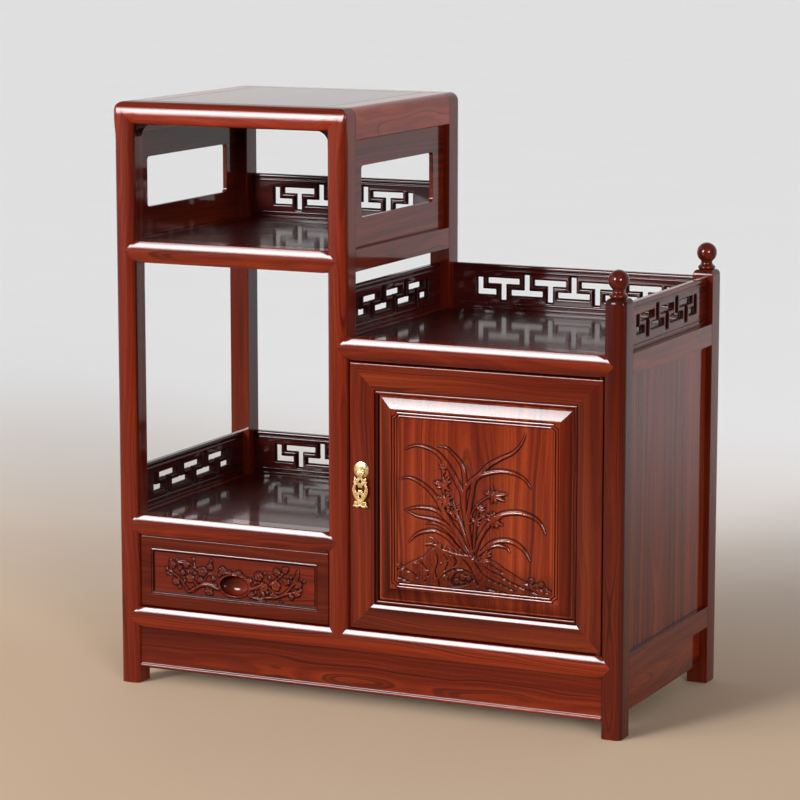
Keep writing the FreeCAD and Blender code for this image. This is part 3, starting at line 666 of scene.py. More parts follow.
# ------------------------------------------------------------------ front rails
def front_rail(name, xa, xb, z0, z1, cad, tone=0.88, mat=None):
    """Crowned rail with crisp long edges; on the pointed mitred shoulders it dies into the rounder posts."""
    h = (z1 - z0) / 2
    zm = (z0 + z1) / 2
    pr = bull(z1 - z0, 33.0, bulge=3.05, fr=1.4, nf=6, na=22)
    pp = bull(z1 - z0, 33.0, fr=8.5, nf=14, na=22)[2:-2]
    pu, py = [q[0] for q in pp], [q[1] for q in pp]
    offs = [0.0, 0.8, 1.8, 3.0, 4.4, 6.0, 8.0]
    rings = []

    def ring(s, end):
        w = 1.0 - min(s / 8.0, 1.0)
        w = w * w * (3 - 2 * w)
        out = []
        for i, (u, y) in enumerate(pr):
            z = z0 + u
            front = 2 <= i < len(pr) - 2
            tip = h - abs(z - zm) if y < 20.0 else 0.0
            if front:
                y = y + (max(float(np.interp(u, pu, py)), y) - y) * w
            x = xa - tip + s if end < 0 else xb + tip - s
            out.append((x, y, z))
        return out
    rings += [ring(s, -1) for s in offs]
    la, lb = ring(12.0, -1), ring(12.0, 1)
    for k in range(7):
        t = k / 6
        rings.append([(a[0] + (b[0] - a[0]) * t, a[1], a[2]) for a, b in zip(la, lb)])
    rings += [ring(s, 1) for s in reversed(offs)]
    v, f = loft(rings)
    return piece(name, v, f, "carcass", cad, mat, grain="x", tone=tone)


front_rail("rail_front_shelf1_wood", PW, FM, 657.0, 690.0, "rail_front_shelf1", mat=ROSE_S)
front_rail("rail_front_shelf2_wood", PW, FM, 235.0, 267.0, "rail_front_shelf2")
front_rail("rail_front_cabinet_wood", WT, FR, 530.0, 563.0, "rail_front_cabinet")
front_rail("rail_front_base_wood", PW, FR, 90.0, 122.0, "rail_front_base")


def top_rail():
    pa, pb = PROF, TOPP
    rr = RO
    n = 18

    def corner(k, side):
        ring = []
        for i in range(len(pb)):
            # u measured from the lower edge; the mitre ring takes the spacing of the post
            um = 34.0 - pa[len(pa) - 1 - i][0] * (34.0 / 33.0) if 1 < i < len(pa) - 2 else pb[i][0]
            u = um + (pb[i][0] - um) * (1.0 - k / n)
            y = pb[i][1]
            v = 34.0 - u
            if v < rr:
                th = math.radians(90.0 - 45.0 * k / n)
                x = rr - (rr - v) * math.cos(th)
                z = H - rr + (rr - v) * math.sin(th)
            else:
                xe = v * (33.0 / 34.0)
                x = 48.0 + (xe - 48.0) * (k + 1) / (n + 1)
                z = H - v
            if 2 <= i < len(pb) - 2:
                y = corner_y(x, z)
            ring.append(((x if side < 0 else WT - x), y, z))
        return ring
    rings = [corner(k, -1) for k in range(n, -1, -1)]
    for t in (0.0, 0.25, 0.5, 0.75, 1.0):
        rings.append([(50.0 + (WT - 100.0) * t, y, 866.0 + u) for u, y in pb])
    rings += [corner(k, 1) for k in range(0, n + 1)]
    v, f = loft(rings)
    # painted shade on the rounded top edge of the rail above z 889.5, rising to 0.42, standing in for the dark
    # reflection there
    return piece("rail_front_top_wood", v, f, "carcass", "rail_front_top", ROSE_S, grain="x", tone=1.38, painted_shade=lambda co: np.clip((co[:, 2] - 889.5) / 5.0, 0, 1) * 0.42)


top_rail()
for nm, x, sx in (("corner_bracket_left", PW, 1), ("corner_bracket_right", FM, -1)):
    r = 20.0
    pts = [(x, 866.0), (x, 866.0 - 19.4)] + [(x + sx * (r - r * math.cos(a)), 866.0 - r + r * math.sin(a)) for a in [math.radians(q) for q in np.linspace(2.5, 87.5, 14)]] + [(x + sx * 19.4, 866.0)]
    # the brackets are painted dark all over, with a low tone and near-black painted shade, standing in for the shade
    # they sit in
    piece_mesh(nm, prism(pts, "y", 10.0, 30.0, 0.7), "carcass", "corner_brackets", grain="x", weld=0, tone=0.30, painted_shade=lambda co: np.full(len(co), 0.9))

# ------------------------------------------------------------------ rear and side rails
box_piece("rail_rear_top_wood", (PW, FM, YR, D, 852.0, H), "carcass", "rail_rear_top", grain="x", b=1.0)
box_piece("rail_rear_shelf1_wood", (PW, FM, YR, D, 657.0, 690.0), "carcass", "rail_rear_shelf1", grain="x", b=1.0)
box_piece("rail_rear_shelf2_wood", (PW, FM, YR, D, 235.0, 267.0), "carcass", "rail_rear_shelf2", grain="x", b=1.0)
box_piece("rail_rear_cabinet_wood", (WT, FR, YR, D, 530.0, 563.0), "carcass", "rail_rear_cabinet", grain="x", b=1.0)
box_piece("rail_rear_base_wood", (PW, FR, YR, D, 90.0, 122.0), "carcass", "rail_rear_base", grain="x", b=1.0)


def side_top(name, left):
    o = [(24.0, 852.0), (24.0, 880.0), (48.0, 880.0), (48.0, 898.6), (47.0, 900.0)] + arc(RO, H - RO, RO, 90, 180, 14) + [(0.0, 853.0), (1.0, 852.0)]
    if not left:
        o = [(WT - a, b) for a, b in o]
    v, f = loft([[(a, y, b) for a, b in o] for y in (PD - 0.01, PD + 84, PD + 168, PD + 252, YR + 0.01)])
    return piece(name, v, f, "carcass", "rails_side_top", grain="y", tone=1.75)


side_top("rail_side_top_left", True)
side_top("rail_side_top_right", False)
for nm, cad, x0, z0, z1 in (("rail_side_shelf1_left", "rails_side_shelf1", 0.0, 657.0, 690.0), ("rail_side_shelf1_right", "rails_side_shelf1", FM, 657.0, 690.0),
                            ("rail_side_shelf2_left", "rails_side_shelf2", 0.0, 235.0, 267.0), ("rail_side_shelf2_right", "rails_side_shelf2", FM, 235.0, 267.0),
                            ("rail_side_cabinet_left", "rails_side_cabinet", FM, 530.0, 563.0), ("rail_side_cabinet_right", "rails_side_cabinet", FR, 530.0, 563.0),
                            ("rail_side_base_left", "rails_side_base", 0.0, 90.0, 122.0), ("rail_side_base_right", "rails_side_base", FR, 90.0, 122.0)):
    box_piece(nm, (x0, x0 + PW, PD, YR, z0, z1), "carcass", cad, grain="y", b=1.0)
box_piece("rail_side_base_middle", (FM, WT, PD - 1, YR, 90.0, 122.0), "carcass", "rails_side_base", grain="y", b=1.0)

# ------------------------------------------------------------------ boards
# painted shade (0.95) on the sides and bevelled edges of the tower top board, so the joints round it look dark
paint_shade(box_piece("board_tower_top", (48.0, WT - 48.0, PD, YR, H - 14.0, H), "carcass", "panel_tower_top", grain="y", b=1.3, pith=(0.02, 0.05)), lambda x, y, z: z < H - 0.1)
box_piece("board_shelf1", (PW, FM, 33.0, YR, 678.0, 690.0), "carcass", "panel_shelf1", ROSE_B, grain="x", b=0.9, pith=(0.02, 0.05))
box_piece("board_shelf2", (PW, FM, 33.0, YR, 255.0, 267.0), "carcass", "panel_shelf2", ROSE_B, grain="x", b=0.9, pith=(0.02, 0.05))
box_piece("board_cabinet_top", (WT, FR, 33.0, YR, 551.0, 563.0), "carcass", "panel_cabinet_top", ROSE_B, grain="x", b=0.9, pith=(0.02, 0.05))
box_piece("board_bottom_left", (PW, FM, 33.0, YR, 110.0, 122.0), "carcass", "panels_bottom", ROSE_SHADED, grain="x")
box_piece("board_bottom_right", (WT, FR, 33.0, YR, 110.0, 122.0), "carcass", "panels_bottom", ROSE_SHADED, grain="x")
bt = [(24, WT - 24, 192, 212, 874, 880), (48.2, WT - 48.2, 192, 212, 874, 886)]
piece_mesh("batten_tower_top", join_meshes([bevel_box(*b, b=0.5) for b in bt]), "carcass", "panel_battens", ROSE_SHADED, grain="x", weld=0)
for nm, b6 in (("batten_shelf1", (PW, FM, 192, 212, 659, 678)), ("batten_shelf2", (PW, FM, 192, 212, 238, 255)), ("batten_cabinet", (WT, FR, 192, 212, 532, 551))):
    box_piece(nm, b6, "carcass", "panel_battens", ROSE_SHADED, grain="x", b=1.2)


def tower_side(name, x0, x1, cad):
    me = plate([(PD, 690.0), (YR, 690.0), (YR, 852.0), (PD, 852.0)], [rrect(74.0, 331.0, 734.0, 811.0, 6.0, 7)], x0, x1, 0.7, 2, lambda u, v, t: (t, u, v))
    # the left panel is painted darker (tone 0.55) than the right (0.85), standing in for the shade on its face inside
    # the tower
    return piece_mesh(name, me, "carcass", cad, ROSE, grain="y", smooth=40, pith=(0.03, 0.03), tone=0.55 if x0 < PW else 0.85)


tower_side("panel_tower_side_left_wood", 10.0, 17.0, "panel_tower_side_left")
tower_side("panel_tower_side_right_wood", WT - 17.0, WT - 10.0, "panel_tower_side_right")
box_piece("panel_lower_side_left_wood", (9.0, 17.0, PD, YR, 122.0, 235.0), "carcass", "panel_lower_side_left", grain="y")
box_piece("panel_side_right_wood", (W - 17.0, W - 9.0, PD, YR, 122.0, 530.0), "carcass", "panel_side_right", ROSE_P, grain="z", pith=(0.06, 0.03))
box_piece("panel_divider_upper", (370.0, 378.0, PD, YR, 267.0, 530.0), "carcass", "panels_divider", ROSE_SHADED, grain="z", pith=(0.06, 0.03))
box_piece("panel_divider_lower", (370.0, 378.0, PD, YR, 122.0, 235.0), "carcass", "panels_divider", ROSE_SHADED, grain="y")
box_piece("panel_back_cabinet_wood", (WT, FR, 390.0, 397.0, 122.0, 530.0), "carcass", "panel_back_cabinet", ROSE_P, grain="z", pith=(0.06, 0.03))
box_piece("panel_back_drawer_wood", (PW, FM, 390.0, 397.0, 122.0, 235.0), "carcass", "panel_back_drawer", grain="x")

# ------------------------------------------------------------------ fretwork galleries
T0, T1, TF = 39.6, 48.6, 14.2
I0, I1, IH = 21.8, 30.6, 55.4
HALF, STEM = 26.9, 4.7


def round_loop(pts, r, n=2):
    """Rounds each corner of a closed polygon a little."""
    out = []
    m = len(pts)
    for i in range(m):
        p0, p, p1 = Vector(pts[i - 1]), Vector(pts[i]), Vector(pts[(i + 1) % m])
        d0, d1 = (p0 - p).normalized(), (p1 - p).normalized()
        a, c = p + d0 * r, p + d1 * r
        for k in range(n + 1):
            t = k / n
            q = a * (1 - t) ** 2 + p * 2 * t * (1 - t) + c * t ** 2
            out.append((q.x, q.y))
    return out


def fret_loops(n, pitch, c):
    loops = []
    for i in range(n):
        u = c + (i - (n - 1) / 2) * pitch
        if i % 2 == 1:
            q = [(u - STEM, TF), (u + STEM, TF), (u + STEM, T0), (u + HALF, T0), (u + HALF, T1), (u - HALF, T1), (u - HALF, T0), (u - STEM, T0)]
        elif i == 0:
            q = [(u - STEM, I0), (u + HALF, I0), (u + HALF, I1), (u + STEM, I1), (u + STEM, T1), (u - STEM, T1)]
        elif i == n - 1:
            q = [(u - HALF, I0), (u + STEM, I0), (u + STEM, T1), (u - STEM, T1), (u - STEM, I1), (u - HALF, I1)]
        else:
            q = [(u - HALF, I0), (u + HALF, I0), (u + HALF, I1), (u + STEM, I1), (u + STEM, IH), (u - STEM, IH), (u - STEM, I1), (u - HALF, I1)]
        loops.append(round_loop(q, 0.8))
    return loops


def gallery(name, u0, u1, n, pitch, zb, along, w0, cad, mat=None, tone=1.0):
    mid = w0 + 6.0

    def to3(u, v, t):
        return (u, t, v) if along == "x" else (t, u, v)
    c = (u0 + u1) / 2
    loops = [[(u, v + zb) for u, v in lp] for lp in fret_loops(n, pitch, c)]
    field = plate([(u0 - 2.6, zb + 6.0), (u1 + 2.6, zb + 6.0), (u1 + 2.6, zb + 62.0), (u0 - 2.6, zb + 62.0)], loops, mid - 5.0, mid + 5.0, 3.5, 4, to3, deep=3.9)

    def bar(half):
        """half: (t, z) for the +t side, bottom to top; mirrored to a closed bar."""
        prof = [(mid + t, zb + z) for t, z in half] + [(mid - t, zb + z) for t, z in reversed(half)]
        prof = [p for k, p in enumerate(prof) if k == 0 or (abs(p[0] - prof[k - 1][0]) + abs(p[1] - prof[k - 1][1])) > 1e-6]
        v, f = loft([[to3(u, z, t) for t, z in prof] for u in (u0, c, u1)])
        return mesh_of(v, f)

    def rnd(cx, cz, rx, rz, a0, a1, k):
        return [(cx + rx * math.cos(math.radians(a0 + (a1 - a0) * i / k)), cz + rz * math.sin(math.radians(a0 + (a1 - a0) * i / k))) for i in range(k + 1)]
    head = [(0.001, 58.2), (4.2, 58.2)] + rnd(4.2, 60.1, 1.5, 1.9, -80, 80, 8) + [(4.3, 62.3), (4.3, 62.9)] + rnd(3.9, 66.4, 2.1, 3.5, -82, 88, 10) + [(3.9, 70.0), (0.001, 70.0)]
    foot = [(0.001, 0.0), (5.6, 0.0), (6.0, 0.5), (6.0, 2.2)] + rnd(5.4, 2.4, 0.6, 0.9, 0, 80, 4) + [(5.0, 3.6), (4.9, 6.6)] + rnd(4.3, 8.6, 1.5, 1.9, -80, 85, 8) + [(0.001, 10.5)]
    me = join_meshes([field, bar(head), bar(foot)])

    def opening_wall_shade(co):
        """Painted shade, near black, on the narrow inner faces of the openings."""
        t = np.abs((co[:, 1] if along == "x" else co[:, 0]) - mid)
        z = co[:, 2] - zb
        return np.where((z > 11.0) & (z < 58.0), np.clip((4.9 - t) / 0.8, 0.0, 1.0) * 0.97, 0.0)
    return piece_mesh(name, me, "carcass", cad, mat or ROSE_SHADED, grain=along, smooth=42, pith=(0.02, 0.04), painted_shade=opening_wall_shade, tone=tone)


gallery("gallery_shelf1_rear_fret", PW, FM, 7, 39.5, 690.0, "x", 388.0, "gallery_shelf1_rear")
gallery("gallery_shelf2_rear_fret", PW, FM, 7, 39.5, 267.0, "x", 388.0, "gallery_shelf2_rear")
gallery("gallery_shelf2_left_fret", PD, YR, 7, 40.5, 267.0, "y", 10.0, "gallery_shelf2_left")
gallery("gallery_cabinet_left_fret", PD, YR, 7, 40.5, 563.0, "y", 364.5, "gallery_cabinet_left")
gallery("gallery_cabinet_rear_fret", WT, FR, 9, 39.5, 563.0, "x", 388.0, "gallery_cabinet_rear", tone=1.25)
gallery("gallery_cabinet_right_fret", PD, YR, 7, 40.5, 563.0, "y", 808.0, "gallery_cabinet_right", ROSE, 0.8)

# ------------------------------------------------------------------ aprons
ap = [(22.0, 25.0), (22.0, 90.0), (8.0, 90.0), (8.0, 32.6), (7.6, 31.6)]
for k in range(9):
    a = math.radians(80 - 170 * k / 8)
    ap.append((6.7 - 1.6 * math.cos(a), 28.6 + 2.6 * math.sin(a)))
ap += [(7.0, 25.4), (7.6, 25.0)]
v, f = loft([[(x, y, z) for y, z in ap] for x in (PW, 224.0, 415.0, 606.0, FR)])
# painted shade (0.42) over the upper part of the apron, above z 56, under the base rail
piece("apron_front_wood", v, f, "carcass", "apron_front", grain="x", smooth=38, pith=(0.015, 0.03), tone=0.86, painted_shade=lambda co: np.where(co[:, 2] > 56.0, 0.42, 0.0))
box_piece("apron_side_left", (12.0, 26.0, PD, YR, 30.0, 90.0), "carcass", "aprons_side", grain="y", b=1.4)
box_piece("apron_side_right", (W - 26.0, W - 12.0, PD, YR, 30.0, 90.0), "carcass", "aprons_side", grain="y", b=1.4)

# ------------------------------------------------------------------ relief carving
class Relief:
    """Height field in a rectangle of the front: u to the right, v up, in mm."""

    def __init__(self, u0, u1, v0, v1, step):
        self.nu, self.nv = int(round((u1 - u0) / step)) + 1, int(round((v1 - v0) / step)) + 1
        self.u, self.v = np.linspace(u0, u1, self.nu), np.linspace(v0, v1, self.nv)
        self.U, self.V = np.meshgrid(self.u, self.v)
        self.h = np.zeros_like(self.U)

    def win(self, u, v, r):
        i0, i1 = np.searchsorted(self.u, (u - r, u + r))
        j0, j1 = np.searchsorted(self.v, (v - r, v + r))
        return slice(max(j0, 0), min(j1 + 1, self.nv)), slice(max(i0, 0), min(i1 + 1, self.nu))

    def over(self, sl, new, soft=0.0):
        """The new height stands over what is there."""
        self.h[sl] = np.maximum(self.h[sl], new)

    def dist_along(self, pts, margin):
        """Distance to a polyline, the parameter along it and the side, for the whole field."""
        P = np.array(pts, float)
        seg = np.linalg.norm(np.diff(P, axis=0), axis=1)
        L = np.concatenate(([0.0], np.cumsum(seg)))
        u0, v0 = P.min(0) - margin
        u1, v1 = P.max(0) + margin
        i0, i1 = np.searchsorted(self.u, (u0, u1))
        j0, j1 = np.searchsorted(self.v, (v0, v1))
        sl = (slice(max(j0 - 1, 0), min(j1 + 1, self.nv)), slice(max(i0 - 1, 0), min(i1 + 1, self.nu)))
        U, V = self.U[sl], self.V[sl]
        best = np.full(U.shape, 1e9)
        par = np.zeros(U.shape)
        side = np.zeros(U.shape)
        rise = np.zeros(U.shape)
        for k in range(len(P) - 1):
            d = P[k + 1] - P[k]
            l2 = float(d @ d) or 1e-9
            t = np.clip(((U - P[k, 0]) * d[0] + (V - P[k, 1]) * d[1]) / l2, 0, 1)
            du, dv = U - (P[k, 0] + t * d[0]), V - (P[k, 1] + t * d[1])
            q = np.hypot(du, dv)
            m = q < best
            best = np.where(m, q, best)
            par = np.where(m, (L[k] + t * seg[k]) / L[-1], par)
            side = np.where(m, np.sign(d[0] * dv - d[1] * du), side)
            rise = np.where(m, dv, rise)
        return sl, best, par, side, rise

    def blade(self, ctrl, width, height, crease=0.22):
        """Leaf: a low ridge whose crest tips upward, with a fine vein, steep edges and a cut line under it."""
        P = spline(ctrl, 10)
        sl, d, t, side, rise = self.dist_along(P, width + 3)
        w = width / 2 * (0.15 + 0.85 * np.clip(t / 0.35, 0, 1) ** 0.8) * np.clip((1 - t) / 0.30, 0, 1) ** 0.7
        w = np.maximum(w, 0.55)
        q = np.clip(d / w, 0, 1)
        prof = (1 - q ** 3.2) ** 0.62
        prof = prof - crease * np.exp(-((d - 0.1 * w) / 0.55) ** 2) * np.clip(w - 1.4, 0, 1)
        hh = height * np.clip(0.50 + 0.50 * np.minimum(t / 0.2, (1 - t) / 0.12), 0.30, 1.0)
        new = np.where(d < w, hh * np.clip(prof, 0, 1) - 0.16 * rise, -1.0)
        self.over(sl, new)
        # a fine cut line beside the leaf
        cut = np.exp(-((d - w - 0.7) / 0.75) ** 2) * 0.34
        self.h[sl] = np.where(d > w, self.h[sl] - cut, self.h[sl])

    def ribbon(self, ctrl, w0, w1, h0, h1, knots=0.0, seed=0, flat=0.0, n=10):
        """Round stem or branch."""
        P = spline(ctrl, n)
        sl, d, t, side, rise = self.dist_along(P, max(w0, w1) + 2)
        w = (w0 + (w1 - w0) * t) / 2
        if knots:
            w = w * (1 + knots * (0.6 * np.sin(t * 37 + seed) + 0.4 * np.sin(t * 91 + 2.1 * seed)))
        q = np.clip(d / np.maximum(w, 0.3), 0, 1)
        prof = np.sqrt(np.clip(1 - q ** 2, 0, 1)) ** (1 - flat)
        if knots:
            prof = prof * (1 - 0.10 * np.abs(np.sin(d * 2.2 + t * 60)))
        self.over(sl, np.where(d < w, (h0 + (h1 - h0) * t) * prof - 0.12 * rise, -1.0))

    def petal(self, u, v, ang, length, width, height, base=0.0, notch=0.0, cup=0.35, vein=0.25):
        """A petal from (u, v) outwards in the direction ang."""
        sl = self.win(u, v, length + width + 1)
        ca, sa = math.cos(math.radians(ang)), math.sin(math.radians(ang))
        U, V = self.U[sl] - u, self.V[sl] - v
        s, c = (U * ca + V * sa) / length, (-U * sa + V * ca) / (width / 2)
        wide = np.clip(np.sin(np.pi * np.clip(s, 0, 1) ** 0.75), 0.0, 1) ** 0.55
        ins = (s > 0) & (s < 1 - notch * np.exp(-(c / 0.3) ** 2)) & (np.abs(c) < wide)
        q = np.clip(np.abs(c) / np.maximum(wide, 1e-3), 0, 1)
        edge = np.minimum(1 - q, (1 - s) * 3.2)
        rim = np.exp(-(edge / 0.22) ** 2)
        prof = (1 - cup) * np.clip(edge * 4, 0, 1) ** 0.6 + cup * np.clip(s, 0, 1) * np.clip(edge * 6, 0, 1) - vein * np.exp(-(c * width / 2 / 0.5) ** 2) * np.clip(s * 2, 0, 1) + 0.12 * rim * np.clip(edge * 8, 0, 1)
        new = np.where(ins, base + height * np.clip(prof, 0, 1.2), -1.0)
        self.over(sl, new)

    def dot(self, u, v, r, height, base=0.0):
        sl = self.win(u, v, r + 0.6)
        q = np.hypot(self.U[sl] - u, self.V[sl] - v) / r
        self.over(sl, np.where(q < 1, base + height * np.sqrt(np.clip(1 - q ** 2, 0, 1)), -1.0))

    def pit(self, u, v, r, depth):
        sl = self.win(u, v, r * 2)
        q = np.hypot(self.U[sl] - u, self.V[sl] - v) / r
        self.h[sl] = self.h[sl] - depth * np.exp(-q ** 2)

    def groove(self, ctrl, width, depth, n=10):
        P = spline(ctrl, n)
        sl, d, t, side, rise = self.dist_along(P, width * 2 + 1)
        env = np.clip(np.minimum(t, 1 - t) / 0.15, 0.15, 1)
        self.h[sl] = self.h[sl] - depth * env * np.exp(-(d / (width / 2)) ** 2)

    def blossom(self, u, v, r, height, rot=0.0, base=0.0, n=5):
        """Five round petals, a ring of stamens and a centre boss."""
        for k in range(n):
            self.petal(u, v, rot + 360.0 / n * k, r, r * 0.98, height, base, notch=0.10, cup=0.55, vein=0.12)
        for k in range(n):
            a = math.radians(rot + 360.0 / n * (k + 0.5))
            self.groove([(u + 0.25 * r * math.cos(a), v + 0.25 * r * math.sin(a)), (u + 0.95 * r * math.cos(a), v + 0.95 * r * math.sin(a))], 0.9, 0.30, 2)
        for k in range(8):
            a = math.radians(rot + 45 * k + 10)
            self.dot(u + 0.42 * r * math.cos(a), v + 0.42 * r * math.sin(a), 0.62, 0.35, base + height * 0.62)
        self.dot(u, v, max(0.9, r * 0.2), 0.7, base + height * 0.62)

    def blob(self, outline, height, edge=3.0, base=0.0, n=8):
        """Rounded mass inside a closed outline."""
        P = np.array(spline(outline + [outline[0]], n))
        u0, v0 = P.min(0) - 2
        u1, v1 = P.max(0) + 2
        i0, i1 = np.searchsorted(self.u, (u0, u1))
        j0, j1 = np.searchsorted(self.v, (v0, v1))
        sl = (slice(max(j0 - 1, 0), min(j1 + 1, self.nv)), slice(max(i0 - 1, 0), min(i1 + 1, self.nu)))
        U, V = self.U[sl], self.V[sl]
        inside = np.zeros(U.shape, bool)
        for k in range(len(P) - 1):
            (ax, ay), (bx, by) = P[k], P[k + 1]
            if ay == by:
                continue
            c = ((ay > V) != (by > V)) & (U < (bx - ax) * (V - ay) / (by - ay) + ax)
            inside ^= c
        _, d, _, _ = self.dist_exact(P, sl)
        q = np.clip(d / edge, 0, 1)
        new = np.where(inside, base + height * np.sin(q * math.pi / 2) ** 0.8, -1.0)
        return sl, inside, d, new

    def dist_exact(self, P, sl):
        U, V = self.U[sl], self.V[sl]
        best = np.full(U.shape, 1e9)
        for k in range(len(P) - 1):
            d = P[k + 1] - P[k]
            l2 = float(d @ d) or 1e-9
            t = np.clip(((U - P[k, 0]) * d[0] + (V - P[k, 1]) * d[1]) / l2, 0, 1)
            best = np.minimum(best, np.hypot(U - (P[k, 0] + t * d[0]), V - (P[k, 1] + t * d[1])))
        return sl, best, None, None

    def smooth(self, k=1, a=0.5):
        for _ in range(k):
            p = np.pad(self.h, 1, mode="edge")
            avg = (p[:-2, 1:-1] + p[2:, 1:-1] + p[1:-1, :-2] + p[1:-1, 2:]) / 4
            self.h = self.h * (1 - a) + avg * a

    def painted_shade(self, radius, k, top=0.8):
        """Painted shade for the hollows: how far each point lies below its neighbourhood, 0 to top."""
        step = self.u[1] - self.u[0]
        m = max(1, int(round(radius / step)))
        w = np.exp(-0.5 * (np.arange(-2 * m, 2 * m + 1) / m) ** 2)
        w /= w.sum()
        h = np.maximum(self.h, -0.9)
        b = np.pad(h, ((2 * m, 2 * m), (0, 0)), mode="edge")
        b = sum(w[i] * b[i:i + h.shape[0]] for i in range(len(w)))
        b = np.pad(b, ((0, 0), (2 * m, 2 * m)), mode="edge")
        b = sum(w[i] * b[:, i:i + h.shape[1]] for i in range(len(w)))
        return np.clip((b - h) * k, 0, top)

    def mesh(self, y_ground, back, keep=None, limit=None):
        """Sheet in front of y_ground, as points and quads; the caller closes it with a skirt and a back. back is not
        used.
        """
        h = np.maximum(self.h, -0.9) if limit is None else np.clip(self.h, -0.9, limit)
        Y = y_ground - h
        nu, nv = self.nu, self.nv
        co = np.column_stack((self.U.ravel(), Y.ravel(), self.V.ravel()))
        idx = np.arange(nu * nv).reshape(nv, nu)
        faces = np.column_stack((idx[:-1, :-1].ravel(), idx[:-1, 1:].ravel(), idx[1:, 1:].ravel(), idx[1:, :-1].ravel()))
        if keep is not None:
            k = keep[:-1, :-1] & keep[:-1, 1:] & keep[1:, 1:] & keep[1:, :-1]
            faces = faces[k.ravel()]
        return co, faces


def spline(ctrl, n=8):
    """Catmull-Rom through the control points."""
    P = [np.array(p, float) for p in ctrl]
    if len(P) < 3:
        return np.array([P[0] + (P[-1] - P[0]) * k / n for k in range(n + 1)])
    P = [2 * P[0] - P[1]] + P + [2 * P[-1] - P[-2]]
    out = []
    for i in range(1, len(P) - 2):
        for k in range(n):
            t = k / n
            out.append(0.5 * ((2 * P[i]) + (-P[i - 1] + P[i + 1]) * t + (2 * P[i - 1] - 5 * P[i] + 4 * P[i + 1] - P[i + 2]) * t ** 2 + (-P[i - 1] + 3 * P[i] - 3 * P[i + 1] + P[i + 2]) * t ** 3))
    out.append(P[-2])
    return np.array(out)


def vnoise(U, V, scale, seed):
    """Smooth value noise from a few sines, the same at each run."""
    s = 0
    for k in range(5):
        a = 1.3 * k + seed * 0.7
        s = s + np.sin((U * math.cos(a) + V * math.sin(a)) * scale * (1 + 0.37 * k) + seed * 3.1 + 5.0 * np.sin((V * math.cos(a) - U * math.sin(a)) * scale * 0.31 + k)) / (1 + 0.6 * k)
    return s / 2.6


# ------------------------------------------------------------------ door
DX0, DX1, DZ0, DZ1, DY = 392.5, 795.5, 124.0, 526.5, 7.5
LIP = 46.5


def frame_profile():
    """(distance from the outer edge, depth behind the face) of the door frame."""
    p = [(0.0, 21.4), (0.0, 1.9), (0.10, 1.35), (0.35, 0.85), (0.75, 0.45), (1.25, 0.18), (1.9, 0.04), (2.7, 0.0)]
    p += [(14.0, 0.0), (24.0, 0.0), (32.4, 0.0), (33.0, 0.02), (33.7, 0.12), (34.8, 0.38), (36.0, 0.70), (37.2, 1.03), (38.4, 1.38), (39.0, 1.62), (39.4, 1.95), (39.6, 2.5), (39.7, 3.6), (40.1, 4.1), (40.6, 3.9)]
    p += [(40.9, 3.45), (41.3, 3.12), (41.9, 2.84), (42.6, 2.70), (43.3, 2.68), (44.0, 2.80), (44.6, 3.05), (45.0, 3.35), (45.25, 3.75), (45.4, 4.6), (45.7, 6.6), (46.5, 7.1), (46.5, 22.0), (0.8, 22.0)]
    return p


def frame_member(name, side, cad):
    prof = frame_profile()
    w, h = DX1 - DX0, DZ1 - DZ0
    L = w if side in ("b", "t") else h
    rings = []
    for t in (0.0, 0.25, 0.5, 0.75, 1.0):
        ring = []
        for s, dpt in prof:
            a = s + (L - 2 * s) * t
            if side == "b":
                p = (DX0 + a, DY + dpt, DZ0 + s)
            elif side == "t":
                p = (DX0 + a, DY + dpt, DZ1 - s)
            elif side == "l":
                p = (DX0 + s, DY + dpt, DZ0 + a)
            else:
                p = (DX1 - s, DY + dpt, DZ0 + a)
            ring.append(p)
        rings.append(ring)
    v, f = loft(rings)
    # painted shade: near black in the groove and at the step down to the panel, 0.10 on the face, and on the bead 0.80
    # on the left stile, 0.35 on the right and 0.10 on the rails; the tones give lit and shaded sides, lighter on the
    # left and top, darker on the right and bottom
    bead = {"l": 0.80, "r": 0.35}.get(side, 0.10)
    cv = [0.9 if (39.5 < q[0] < 40.7 and q[1] > 2.3) or (q[0] > 45.2 and q[1] < 10) else (bead if q[0] > 40.7 else 0.10) for q in prof] * 5
    return piece(name, v, f, "door", cad, ROSE_P, grain="x" if side in ("b", "t") else "z", smooth=30, pith=(0.03 if side in "lt" else -0.02, 0.028), tone={"l": 0.98, "r": 0.60, "t": 0.88, "b": 0.68}[side], painted_shade=cv)


frame_member("door_rail_bottom", "b", "door_rails")
frame_member("door_rail_top", "t", "door_rails")
frame_member("door_stile_left", "l", "door_stiles")
frame_member("door_stile_right", "r", "door_stiles")

# raised panel: lip, bevel, flat border
px0, px1, pz0, pz1 = DX0 + LIP, DX1 - LIP, DZ0 + LIP, DZ1 - LIP
YF = DY + 1.0                                  # face of the flat border
YG = DY + 2.5                                  # sunk ground of the carving
BX0, BX1, BZ0, BZ1 = 460.2, 727.4, 190.4, 458.2   # outer line of the bead border


def notched(x0, x1, z0, z1, r, d, n=8):
    """Rectangle with quarter hollows in its corners, moved inward by d."""
    pts = []
    a0 = math.asin(d / (r + d))
    for cx, cz, sx, sz in ((x1, z1, -1, -1), (x0, z1, 1, -1), (x0, z0, 1, 1), (x1, z0, -1, 1)):
        loc = []
        for k in range(n + 1):
            a = a0 + (math.pi / 2 - 2 * a0) * k / n
            loc.append((cx + sx * (r + d) * math.cos(a), cz + sz * (r + d) * math.sin(a)))
        # keep the loop running the same way round at each corner
        pts += loc[::-1] if (sx, sz) in ((-1, -1), (1, 1)) else loc
    return pts


NOTCH = 7.5
